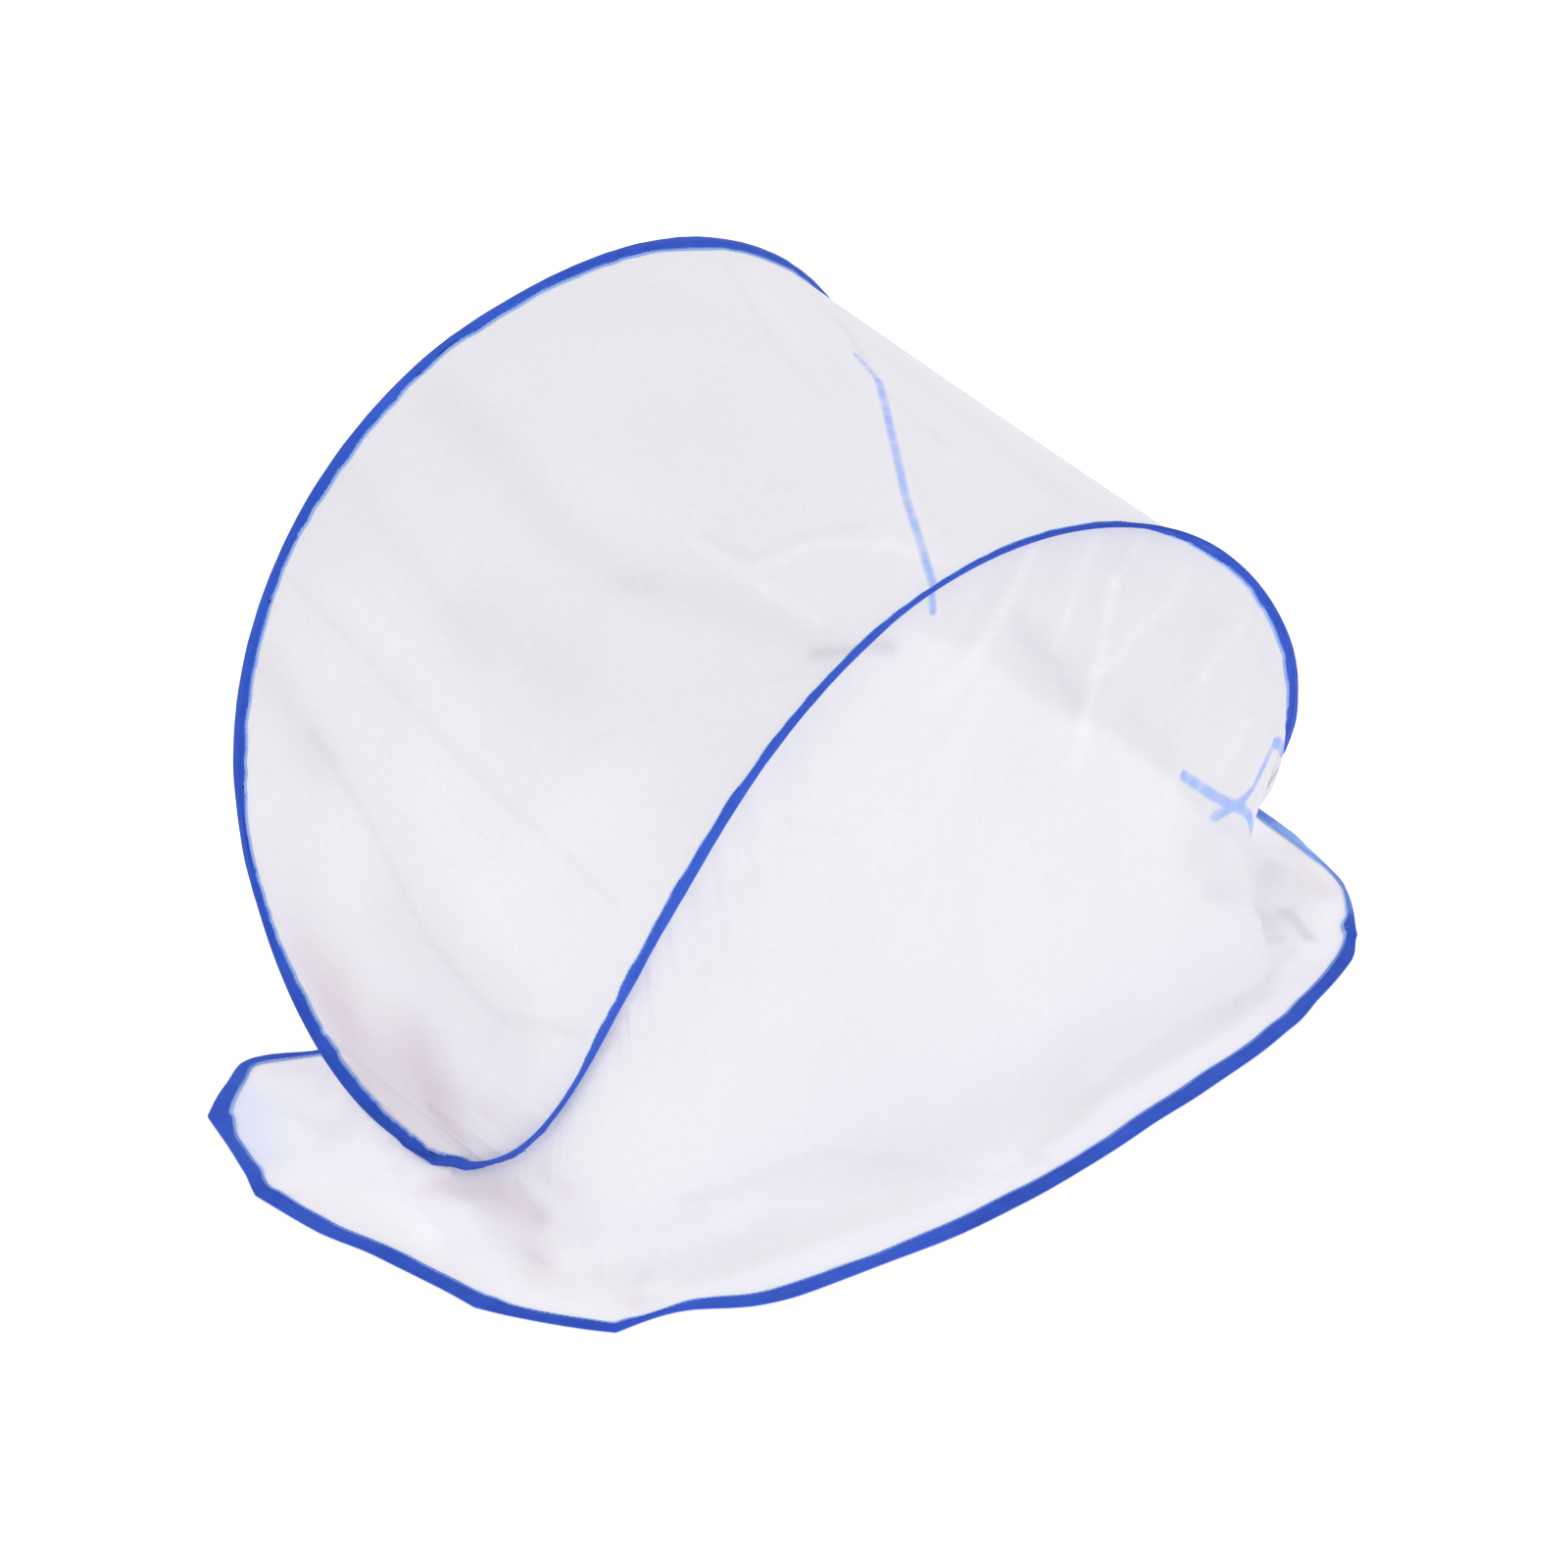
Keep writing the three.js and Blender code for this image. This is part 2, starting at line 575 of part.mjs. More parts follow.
// A panel runs from one foot to the other, and its side edges stop short of the seams.
function netPanel(firstStation, folds) {
  const lastStation = firstStation + STATIONS / 2;
  const columns = [];
  for (let station = firstStation; station <= lastStation; station += 1) {
    const starts = station === firstStation ? SEAM_HALF_GAP : 0;
    const ends = station === lastStation ? -SEAM_HALF_GAP : 0;
    columns.push(panelColumn(station, starts + ends));
  }
  addFolds(columns, folds, -1);
  return netSheet(columns, true);
}

// The roof narrows to a point at each foot and stops just short of it.
const ROOF_FIRST_STATION = 0.4;
function roofNet() {
  const firstStation = ROOF_FIRST_STATION;
  const lastStation = STATIONS / 2 - firstStation;
  const stations = [firstStation];
  for (let station = 1; station < STATIONS / 2; station += 1) stations.push(station);
  stations.push(lastStation);
  const columns = stations.map(roofColumn);
  addFolds(columns, ROOF_FOLDS, 1);
  return netSheet(columns, false);
}

const netCloth = new THREE.MeshStandardMaterial({ color: 0xececf3, roughness: 0.9, metalness: 0 });
const blueTape = new THREE.MeshStandardMaterial({ color: 0x3c5fcd, roughness: 0.75, metalness: 0 });
const springWire = new THREE.MeshStandardMaterial({ color: 0x9a9da3, roughness: 0.35, metalness: 1 });

const net = new THREE.Group();
function addPiece(name, geometry, material) {
  const piece = new THREE.Mesh(geometry, material);
  piece.name = name;
  net.add(piece);
}

addPiece("wire_hoop", wireHoop(), springWire);
addPiece("hoop_binding", hoopBinding(), blueTape);
addPiece("roof_net", roofNet(), netCloth);
addPiece("front_panel", netPanel(0, FRONT_FOLDS), netCloth);
addPiece("back_panel", netPanel(STATIONS / 2, BACK_FOLDS), netCloth);
addPiece("rim_binding", rimBinding(), blueTape);

// The origin is the middle of the whole net's box, on the ground.
const box = new THREE.Box3().setFromObject(net);
const middle = box.getCenter(new THREE.Vector3());
net.position.set(-middle.x, -middle.y, -box.min.z);

export default net;
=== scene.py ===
# %% [markdown]
# A pop-up mosquito net, dressed for its portrait.
#
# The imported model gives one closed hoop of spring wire, bound in blue tape, with a roof
# and two panels of white net and a bound hem on the ground. Its solids are thick enough
# for a simulator to touch. This script puts real cloth in their place: thin sheets of
# net, folded tapes with puckers and stitches, and a weave in each material.
#
# All lengths below are in millimetres, as on a maker's drawing, and turn into metres
# only where a mesh is made.

import math

import bmesh
import bpy
import numpy as np
from mathutils import Matrix, Vector


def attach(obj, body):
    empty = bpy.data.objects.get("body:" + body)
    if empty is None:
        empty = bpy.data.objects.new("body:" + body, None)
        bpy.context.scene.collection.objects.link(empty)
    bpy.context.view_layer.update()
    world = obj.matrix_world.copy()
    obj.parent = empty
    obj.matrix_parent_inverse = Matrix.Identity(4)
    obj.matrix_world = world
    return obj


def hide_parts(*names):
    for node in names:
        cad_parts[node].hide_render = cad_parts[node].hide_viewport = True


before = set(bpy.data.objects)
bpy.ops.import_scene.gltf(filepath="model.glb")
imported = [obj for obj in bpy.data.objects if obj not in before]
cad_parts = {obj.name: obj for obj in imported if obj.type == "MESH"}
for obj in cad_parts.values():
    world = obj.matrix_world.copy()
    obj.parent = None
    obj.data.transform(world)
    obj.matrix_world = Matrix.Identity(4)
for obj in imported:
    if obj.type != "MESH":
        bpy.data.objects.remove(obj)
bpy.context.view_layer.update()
print("nodes:", sorted(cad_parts))

# %% [markdown]
# The camera comes first, because every later choice is judged through it. The net was
# photographed from the left front corner and from above, with a long lens, so its near
# and far arches keep almost the same scale. A lens of 90 mm on a 36 mm sensor, 2.3 m
# away, gives that flat look.

# %% Camera
CAMERA_PLACE = (-1.3545, -1.4384, 1.1163)
CAMERA_TILT = 26.235  # degrees below the horizon
CAMERA_HEADING = 42.20  # degrees from straight ahead towards the right foot
LENS = 90
SENSOR = 36

lens = bpy.data.cameras.new("portrait_lens")
lens.lens = LENS
lens.sensor_fit = "HORIZONTAL"
lens.sensor_width = SENSOR
camera = bpy.data.objects.new("portrait_camera", lens)
camera.location = CAMERA_PLACE
camera.rotation_euler = (math.radians(90 - CAMERA_TILT), 0, math.radians(-CAMERA_HEADING))
bpy.context.scene.collection.objects.link(camera)
bpy.context.scene.camera = camera
print("camera to the middle of the net:", round(math.dist(CAMERA_PLACE, (0, 0, 0.2)), 3), "m")

# %% [markdown]
# Everything on this net hangs from one curve, the spring wire. It is a closed loop bent
# to a saddle: seen from above it is a squared oval, and seen from the front it dips to
# the ground at two feet and rises to two arches. A few sines and cosines of one angle
# give that, and four gentle bumps give the bends that a real hoop gets from its bag.
#
# Places round the hoop are called stations, 96 in all: 0 is the left foot, 24 the top of
# the front arch, 48 the right foot and 72 the top of the back arch.

# %% The wire's line
MM = 0.001
STATIONS = 96
FOOT_HALF_SPAN = 254.6
FRONT_REACH = 184
BACK_REACH = 131.5
FRONT_HEIGHT = 339
BACK_HEIGHT = 415
SHOULDER = 45.4
SQUARENESS = 35.2
APEX_FLATNESS = 2.5
FOOT_RISE = 5.2
FOOT_CROWDING = 0.1  # stations lie closer at the feet than at the tops
HOOP_BENDS = [  # degrees from the front arch's top, its spread, and the shift
    (54, 17, (4, -1, 0)),
    (76, 14, (0, 6, 5)),
    (38, 12, (0, -2, -3)),
    (263, 14, (-4, 0, 0)),
]


def station_angle(station):
    """The angle round the hoop at a station, 0 at the front arch's top."""
    even = 2 * np.pi * (np.asarray(station, float) - STATIONS / 4) / STATIONS
    return even + FOOT_CROWDING * np.sin(2 * even)


def hoop_point(angle):
    """The wire's middle at an angle, or at an array of angles."""
    reach = (FRONT_REACH + BACK_REACH) / 2
    skew = (FRONT_REACH - BACK_REACH) / 2
    height = (FRONT_HEIGHT + BACK_HEIGHT) / 4
    lean = (BACK_HEIGHT - FRONT_HEIGHT) / 2
    plan = (reach + SQUARENESS) * np.cos(angle) - SQUARENESS * np.cos(3 * angle)
    arch = height * (1 + np.cos(2 * angle)) - lean * np.cos(angle)
    x = (FOOT_HALF_SPAN + SHOULDER) * np.sin(angle) + SHOULDER * np.sin(3 * angle)
    y = -plan - skew * np.cos(2 * angle)
    z = arch + APEX_FLATNESS * (1 - np.cos(4 * angle)) + FOOT_RISE
    place = np.stack([x, y, z], axis=-1)
    for degrees, spread, shift in HOOP_BENDS:
        away = np.degrees(angle) - degrees
        nearest = away - 360 * np.round(away / 360)
        place = place + np.exp(-((nearest / spread) ** 2))[..., None] * np.array(shift)
    return place


# %% [markdown]
# The hem is the other line that everything follows. A skirt thrown on the floor never
# lies in a neat oval: it has straight stretches, soft waves and a few sharp turns. So it
# is a short table of places where it was seen to lie, joined by a smooth curve that may
# break at the rows marked as corners. The same table holds the line where the hanging
# panel first meets the floor.

# %% The hem's line
HEM = [  # station, hem x and y, landing x and y, corner
    (0, -340, 30, -274, 27, 1),
    (2, -337, -16, -272, -17, 0),
    (4, -331, -59, -271, -54, 0),
    (7, -322, -129, -272, -98, 1),
    (9, -304, -162, -271, -126, 0),
    (11, -285, -192, -262, -155, 1),
    (13, -245, -201, -243, -171, 0),
    (14.5, -215, -220, -221, -181, 0),
    (16.5, -183, -229, -188, -188, 0),
    (21, -75, -241, -80, -196, 0),
    (24, 0, -240, 0, -197, 0),
    (27.5, 90, -228, 95, -194, 0),
    (31.5, 188, -214, 189, -187, 0),
    (34, 236, -203, 226, -175, 0),
    (36, 280, -187, 248, -153, 0),
    (38, 308, -172, 264, -119, 1),
    (41, 351, -124, 273, -82, 0),
    (43, 369, -80, 276, -57, 0),
    (45.5, 385, -25, 277, -20, 0),
    (48, 394, 21, 277, 25, 0),
    (51, 382, 70, 277, 73, 0),
    (54, 342, 124, 276, 121, 0),
    (57, 298, 164, 267, 150, 0),
    (60, 252, 181, 246, 160, 0),
    (64, 196, 178, 194, 156, 0),
    (68, 105, 166, 105, 144, 0),
    (72, 0, 158, 0, 136, 0),
    (76, -88, 151, -88, 129, 0),
    (80, -160, 138, -158, 116, 0),
    (83, -205, 127, -202, 106, 0),
    (85, -232, 127, -224, 105, 0),
    (87, -268, 146, -236, 103, 0),
    (88.5, -292, 133, -241, 98, 0),
    (90, -315, 112, -249, 90, 1),
    (92.5, -327, 73, -259, 65, 0),
    (96, -340, 30, -274, 27, 1),
]
HEM_ROWS = np.array(HEM, float)
UP = np.array([0, 0, 1.0])
TINY = 1e-9


def unit(vector):
    """Vectors of length one, along the last axis."""
    length = np.linalg.norm(vector, axis=-1, keepdims=True)
    return vector / np.maximum(length, TINY)


def hem_slopes(values):
    """The hem's slope before and after each row of the table."""
    at = HEM_ROWS[:, 0]
    ahead = np.append(np.diff(values) / np.diff(at), 0)
    behind = np.roll(ahead, 1)
    ahead[-1] = ahead[0]
    behind[0] = behind[-1]
    gap = np.append(np.diff(at), at[1] - at[0])
    gap_behind = np.roll(gap, 1)
    gap_behind[0] = gap_behind[-1]
    even = (ahead * gap + behind * gap_behind) / (gap + gap_behind)
    corner = HEM_ROWS[:, 5] > 0
    return np.where(corner, behind, even), np.where(corner, ahead, even)


def read_hem(column, station):
    """A smooth curve through one column of the hem's table."""
    wrapped = np.mod(np.asarray(station, float), STATIONS)
    values = HEM_ROWS[:, column]
    before, after = hem_slopes(values)
    high = np.searchsorted(HEM_ROWS[:, 0], wrapped, side="right")
    low = high - 1
    span = HEM_ROWS[high, 0] - HEM_ROWS[low, 0]
    s = (wrapped - HEM_ROWS[low, 0]) / span
    start = values[low] * (1 + 2 * s) * (1 - s) ** 2 + after[low] * span * s * (1 - s) ** 2
    end = values[high] * s * s * (3 - 2 * s) + before[high] * span * s * s * (s - 1)
    return start + end


def hem_point(station):
    x = read_hem(1, station)
    return np.stack([x, read_hem(2, station), np.zeros_like(x)], axis=-1)


def landing(station, height):
    x = read_hem(3, station)
    return np.stack([x, read_hem(4, station), np.full_like(x, height)], axis=-1)


def hem_frame(station):
    """The hem's middle, the direction inward from it, and the mitre at its bends."""
    at = hem_point(station)
    before = unit(at - hem_point(station - 1.0))
    after = unit(hem_point(station + 1.0) - at)
    along = unit(before + after)
    mitre = 1 / np.sum(along * after, axis=-1)
    return {"at": at, "along": along, "inward": np.cross(UP, along), "mitre": mitre}


def hem_place(hem, inward, height):
    """Points beside the hem: so far inward from its middle, at a height."""
    place = hem["at"] + hem["inward"] * (inward * hem["mitre"])[..., None]
    place[..., 2] = height
    return place


HEM_HALF_WIDTH = 4.5
round_the_hem = hem_frame(np.arange(STATIONS, dtype=float))
outer_edge = hem_place(round_the_hem, np.full(STATIONS, -HEM_HALF_WIDTH), 0.0)
inner_edge = hem_place(round_the_hem, np.full(STATIONS, HEM_HALF_WIDTH), 0.0)
both_edges = np.concatenate([outer_edge, inner_edge])
MIDDLE = (both_edges.min(axis=0) + both_edges.max(axis=0)) / 2
MIDDLE[2] = 0

# %% [markdown]
# The tape is a ribbon folded over the wire and sewn shut beside it. Its sewn edge points
# from the wire towards the net that it holds, and because it holds two nets it lies
# somewhere between them. That direction turns slowly on the way round, and it turns over
# at two places near the feet. A table of a few angles, eased from one to the next, gives
# the twist.

# %% The tape's direction round the hoop
TAPE_TURN = np.array([  # station, degrees from the roof's surface towards the panel's
    (0, 25), (2, 20), (4, 110), (6, 112), (8, 88), (10, 52), (12, 30), (14, 15), (17, 20),
    (20, 26), (22, 30), (24, 16), (26, 10), (28, 54), (30, 88), (34, 92), (36.4, 92), (38, 54),
    (44, 48), (52, 50), (62, 52), (66, 24), (70, 16), (76, 10), (84, 12), (88, 24), (92, 32),
    (94, 28), (96, 25),
], float)
SMALL_ANGLE = 0.001


def ease(share):
    """Turns an even run from 0 to 1 into one that starts and ends gently."""
    return share * share * (3 - 2 * share)


def read_eased(rows, station):
    """Reads a table of station and value, with eased steps between its rows."""
    wrapped = np.mod(np.asarray(station, float), STATIONS)
    high = np.searchsorted(rows[:, 0], wrapped, side="right").clip(1, len(rows) - 1)
    low = high - 1
    share = (wrapped - rows[low, 0]) / (rows[high, 0] - rows[low, 0])
    return rows[low, 1] + (rows[high, 1] - rows[low, 1]) * ease(share)


def dot(one, other):
    return np.sum(one * other, axis=-1, keepdims=True)


def hoop_frame(station):
    """The wire's middle, the direction along it, the direction of the tape's sewn edge,
    and the direction that the tape's face on the roof's side looks in."""
    angle = station_angle(station)
    at = hoop_point(angle)
    ahead = hoop_point(angle + SMALL_ANGLE)
    behind = hoop_point(angle - SMALL_ANGLE)
    along = unit(ahead - behind)
    across = hoop_point(np.pi - angle) - at
    at_foot = np.linalg.norm(across, axis=-1, keepdims=True) < 1
    towards = np.where(at_foot, ahead + behind - 2 * at, across)
    into_roof = unit(towards - along * dot(towards, along))
    roof_out = np.cross(along, into_roof)
    turn = np.radians(read_eased(TAPE_TURN, station))[..., None]
    tail = into_roof * np.cos(turn) - roof_out * np.sin(turn)
    return {"at": at, "along": along, "tail": tail, "roof_side": np.cross(along, tail)}


def hoop_place(hoop, reach, side):
    """Points beside the wire: reach towards the sewn edge, side towards the roof."""
    reach = np.broadcast_to(reach, hoop["at"].shape[:-1])[..., None]
    side = np.broadcast_to(side, hoop["at"].shape[:-1])[..., None]
    return hoop["at"] + hoop["tail"] * reach + hoop["roof_side"] * side


# %% [markdown]
# Every cloth here starts as a flat grid of squares, and each corner is then carried to
# its place, as a cutter's flat pattern is carried to the frame. Rows and columns keep
# their order, so the flat pattern's own lengths can be written to the UV map, and a
# weave drawn on that map has the same size of mesh all over.

# %% Helpers that turn rows and columns of places into a mesh
def along_columns(places):
    """Lengths of cloth down each column and across each row, from the middle column."""
    down = np.linalg.norm(np.diff(places, axis=1), axis=-1)
    down = np.concatenate([np.zeros((len(places), 1)), np.cumsum(down, axis=1)], axis=1)
    across = np.linalg.norm(np.diff(places, axis=0), axis=-1)
    across = np.concatenate([np.zeros((1, places.shape[1])), np.cumsum(across, axis=0)])
    across = across - across[len(places) // 2]
    return across, down


def grid_piece(name, places, shades=None, closed=False, flipped=False):
    """A mesh object whose corners are places[column, row], in millimetres. shades are
    named values for each corner, and closed joins the last column and row to the first."""
    columns, rows = places.shape[:2]
    in_metres = (places - MIDDLE) * MM
    across, down = along_columns(in_metres)
    bm = bmesh.new()
    lengths = bm.loops.layers.uv.new("cloth_lengths")
    bmesh.ops.create_grid(bm, x_segments=columns - 1, y_segments=rows - 1, size=1)
    where = {}
    for corner in bm.verts:
        column = round((corner.co.x + 1) / 2 * (columns - 1))
        row = round((corner.co.y + 1) / 2 * (rows - 1))
        where[corner.index] = (column, row)
    for face in bm.faces:
        face.smooth = True
        for loop in face.loops:
            column, row = where[loop.vert.index]
            loop[lengths].uv = (across[column, row], down[column, row])
    layers = {key: bm.verts.layers.float.new(key) for key in (shades or {})}
    for corner in bm.verts:
        column, row = where[corner.index]
        corner.co = in_metres[column, row]
        for key, layer in layers.items():
            corner[layer] = shades[key][column, row]
    if closed:
        bmesh.ops.remove_doubles(bm, verts=bm.verts, dist=WELD)
        bmesh.ops.recalc_face_normals(bm, faces=bm.faces)
    if flipped:
        bmesh.ops.reverse_faces(bm, faces=bm.faces)
    return finished(name, bm)


WELD = 0.00001  # metres
SHARP_EDGE = 50  # degrees


def finished(name, bm):
    """Turns a bmesh into an object at the origin, and prints its size."""
    mesh = bpy.data.meshes.new(name)
    bm.to_mesh(mesh)
    bm.free()
    mesh.set_sharp_from_angle(angle=math.radians(SHARP_EDGE))
    piece = bpy.data.objects.new(name, mesh)
    bpy.context.scene.collection.objects.link(piece)
    print(name, "has", len(mesh.polygons), "faces")
    return piece


# %% [markdown]
# Cloth that was folded in a bag keeps soft creases, and cloth that hangs from a curved
# edge drops into shallow pleats. Both are the same thing to a modeller: a ridge along a
# line that sinks away to both sides. The tables below give the lines where the creases
# were seen, with a width and a lift, and the cloth is pushed out of its smooth surface
# by them. Near a tape the cloth is held, so there the lift fades to nothing.

# %% Creases and pleats
ROOF_FOLDS = [  # from, to, width, lift
    ((-136, 110, 367), (-155, 10, 334), 26, -4),
    ((-155, 10, 334), (-129, -148, 314), 24, -3.5),
    ((-176, 30, 317), (-160, -107, 303), 18, 3.5),
    ((-212, 80, 280), (-212, -63, 253), 22, -3),
    ((-244, 90, 208), (-246, -18, 183), 20, -4),
    ((-246, -18, 183), (-244, -150, 166), 22, 3),
    ((-260, 78, 74), (-260, -7, 62), 20, 4),
    ((45, 101, 403), (0, -60, 365), 30, -3),
    ((190, 120, 320), (200, -120, 255), 26, -3),
]
FRONT_FOLDS = [
    ((240, -165, 85), (268, -100, 45), 45, -19),  # the net is drawn in beside the right foot
    ((-5, -184, 322), (-53, -188, 250), 12, 5),
    ((31, -184, 322), (20, -190, 240), 10, 4),
    ((83, -184, 305), (46, -192, 190), 13, 6),
    ((149, -184, 250), (112, -192, 170), 12, 5),
    ((205, -180, 215), (175, -190, 130), 14, 4),
    ((-140, -184, 290), (-150, -190, 150), 16, 4),
    ((-190, -180, 200), (-215, -170, 60), 16, 5),
    ((-262, -12, 2), (-274, -125, 2), 14, 7),
    ((-274, -125, 2), (-286, -184, 2), 12, 6),
    ((-300, 0, 2), (-300, -110, 2), 12, 3.5),
    ((268, -150, 2), (326, -102, 2), 14, 6),
    ((326, -102, 2), (340, -69, 2), 13, 7),
    ((290, -110, 2), (352, -84, 2), 10, 5),
    ((60, -203, 2), (205, -176, 2), 15, 5),
]
BACK_FOLDS = [
    ((-40, 134, 380), (-60, 138, 60), 16, 5),
    ((60, 136, 370), (40, 142, 80), 18, 5),
    ((140, 142, 320), (150, 150, 90), 16, 5),
    ((-150, 142, 310), (-150, 128, 90), 16, 5),
    ((215, 154, 240), (212, 160, 40), 16, 4),
    ((-290, 60, 2), (-300, 100, 2), 12, 5),
    ((290, 80, 2), (355, 70, 2), 14, 6),
]
HELD_WIDTH = 34  # from a tape to where a crease has its full height
GROUND = 0.8  # the lowest that net lies


def distance_to_line(places, start, end):
    """How far each place is from a straight line between two points."""
    start = np.array(start, float)
    line = np.array(end, float) - start
    share = np.clip(((places - start) @ line) / (line @ line), 0, 1)
    return np.linalg.norm(places - start - share[..., None] * line, axis=-1)


def cloth_normals(places):
    """The direction out of the cloth at each corner, from its neighbours."""
    across = np.gradient(places, axis=0)
    down = np.gradient(places, axis=1)
    return unit(np.cross(across, down))


def held_fade(places, first_free, last_free, width):
    """0 at the tapes and 1 where the cloth is free of them."""
    _, down = along_columns(places)
    from_top = down - down[:, first_free][:, None]
    from_end = down[:, last_free][:, None] - down
    return ease(np.clip(np.minimum(from_top, from_end) / width, 0, 1))


def add_folds(places, folds, fade, outward):
    """Pushes the cloth out of its smooth surface along its creases."""
    lift = np.zeros(places.shape[:2])
    for start, end, width, height in folds:
        lift += height * np.exp(-((distance_to_line(places, start, end) / width) ** 2))
    moved = places + cloth_normals(places) * (outward * lift * fade)[..., None]
    moved[..., 2] = np.maximum(moved[..., 2], GROUND)
    return moved


# %% [markdown]
# A net leaves the tape between its two plies. Seen along the wire it runs out of the
# fold, bends round the ply's sewn edge and then goes straight to wherever it is held
# next. Where that lies behind the tape, as at the feet, the net lies back over the ply
# and round the wire's bulge. Two circles and their common tangents describe all of it.

# %% How a net leaves the tape
TAPE_REACH = np.array([  # station, wire's middle to the sewn edge
    (0, 7.2), (1, 6), (2, 3), (4, 5.4), (6, 5.6), (10, 5.2), (12, 6.6), (14, 5), (16, 3.6),
    (18, 2.9), (20, 3.1), (22, 3.6), (24, 3.5), (26, 4.6), (30, 5), (33, 6.4), (38, 6.4),
    (48, 6.2), (62, 6.6), (66, 6.4), (70, 6.2), (74, 5.6), (76, 3.2), (78, 4.8), (80, 4.2),
    (82, 5.4), (84, 5.2), (86, 3.6), (88, 6), (90, 7.6), (94, 8.4), (96, 7.2),
], float)
TAPE_FOLD = np.array([  # station, wire's middle to the fold, and its lift to the roof's side
    (0, 1.7, 0), (1, 3.4, 1.8), (2, 4.6, 3.6), (3, 4, 0.6), (4, 2.4, -2.6), (6, 1.6, -1),
    (8, 1.5, 0), (12, 1.5, 0), (14, 3.2, 0), (16, 5.6, 0), (18, 4.6, 0), (20, 4.4, 0), (22, 2, 0),
    (26, 1.5, 0), (30, 1.5, 0), (34, 3.4, 0), (35.5, 5, -0.8), (36.6, 4.8, -0.8), (37.6, 1.7, 0),
    (62, 1.7, 0), (66, 4.4, 0), (70, 4.4, 0), (74, 2, 0), (76, 3.8, 0), (80, 3.2, 0),
    (84, 4.6, 0), (86, 3.4, 0), (88, 1.6, 0), (96, 1.7, 0),
], float)
PLY = 0.35  # thickness of one ply of tape
FLANGE_HALF = 0.62  # half the thickness of the sewn part
BULGE = 1.38  # radius of the tape round the wire
NET_SIDE = 0.14  # how far from the middle of the fold each net lies
PLY_TURN = 0.36  # radius of the net's bend round a ply
BULGE_TURN = 1.7  # and round the wire's bulge
NET_START = 2.2  # where the net's edge lies in the fold
NET_EDGE_RUN = 1  # the net lies straight so far behind the ply's edge
LEAST_TURN = 0.1  # radians
FIRST_RUN = 0.8  # where the net goes straight, its rows lie so many tape widths on
MORE_RUN = 0.6
TURN_STEPS = 4
BULGE_STEPS = 4


def leaving_heading(centre, radius, target, next_radius):
    """Heading of the straight run from a bend to a target, or to the next bend."""
    reach = target[0] - centre[0]
    side = target[1] - centre[1]
    bearing = np.arctan2(side, reach)
    bearing = np.where(bearing < -np.pi / 2, bearing + 2 * np.pi, bearing)
    slant = (radius - next_radius) / np.hypot(reach, side)
    return bearing + np.arcsin(np.clip(slant, -1, 1))


def on_turn(centre, radius, heading):
    return centre[0] + radius * np.sin(heading), centre[1] - radius * np.cos(heading)


def rows_from_tape(hoop, side, target, edge, passes_bulge):
    """Rows of places from inside the fold to where the net goes straight for its target.
    side is 1 for the roof and -1 for a panel, and edge is the tape's sewn edge."""
    offset = target - hoop["at"]
    flat = (dot(offset, hoop["tail"])[..., 0], side * dot(offset, hoop["roof_side"])[..., 0])
    ply_end = (edge, FLANGE_HALF - PLY / 2)
    wire = (np.zeros_like(edge), 0)
    heading = np.maximum(LEAST_TURN, leaving_heading(ply_end, PLY_TURN, flat, 0))
    bulge_heading = leaving_heading(ply_end, PLY_TURN, wire, BULGE_TURN)
    behind = (heading > bulge_heading) & passes_bulge
    leaving = np.where(behind, bulge_heading, heading)
    spots = [(np.full_like(edge, NET_START), NET_SIDE), (edge - NET_EDGE_RUN, NET_SIDE)]
    for step in range(TURN_STEPS):
        spots.append(on_turn(ply_end, PLY_TURN, leaving * step / (TURN_STEPS - 1)))
    last = leaving_heading(wire, BULGE_TURN, flat, 0)
    exit_reach, exit_side = on_turn(ply_end, PLY_TURN, leaving)
    for step in range(BULGE_STEPS):
        share = step / (BULGE_STEPS - 1)
        turn = bulge_heading + (last - bulge_heading) * share
        round_reach, round_side = on_turn(wire, BULGE_TURN, turn)
        run = edge * (FIRST_RUN + MORE_RUN * share)
        straight_reach = exit_reach + run * np.cos(leaving)
        straight_side = exit_side + run * np.sin(leaving)
        reach = np.where(behind, round_reach, straight_reach)
        spots.append((reach, np.where(behind, round_side, straight_side)))
    return [hoop_place(hoop, reach, side * across) for reach, across in spots]


# %% [markdown]
# The roof is a lens of net pulled tight between the two arches, so each of its columns is
# almost a straight line from the front arch to the back one. The two panels hang from
# the arches to the floor, turn there through a soft knee and run out to the hem. All
# three share their stations with the hoop, so they meet the tapes without a gap.

# %% Columns of the three nets
STEPS_PER_STATION = 5
ROOF_SAG = 1
ROOF_ROWS = 56
HANG_ROWS = 34
KNEE_ROWS = 14
SKIRT_ROWS = 14
FINE = 2  # how much finer the grids are that the portrait shows
KNEE = 34
LONGEST_KNEE = 0.45
HEM_NET_IN = 6
HEM_NET_HEIGHT = 1.3
KNEE_HEIGHT = 0.8
ROOF_FIRST = 0.4  # the roof narrows to a point at each foot and stops just short of it
FIRST_FREE = 2 + TURN_STEPS + BULGE_STEPS - 1


def mix(start, end, share):
    return start + (end - start) * share


def uneven(station, steps, seed):
    """Smooth unevenness from -1 to 1 round the whole loop, with so many steps in it."""
    knots = np.random.default_rng(seed).uniform(-1, 1, steps)
    at = np.mod(np.asarray(station, float), STATIONS) / STATIONS * steps
    low = np.floor(at).astype(int) % steps
    share = at - np.floor(at)
    return knots[low] + (knots[(low + 1) % steps] - knots[low]) * ease(share)


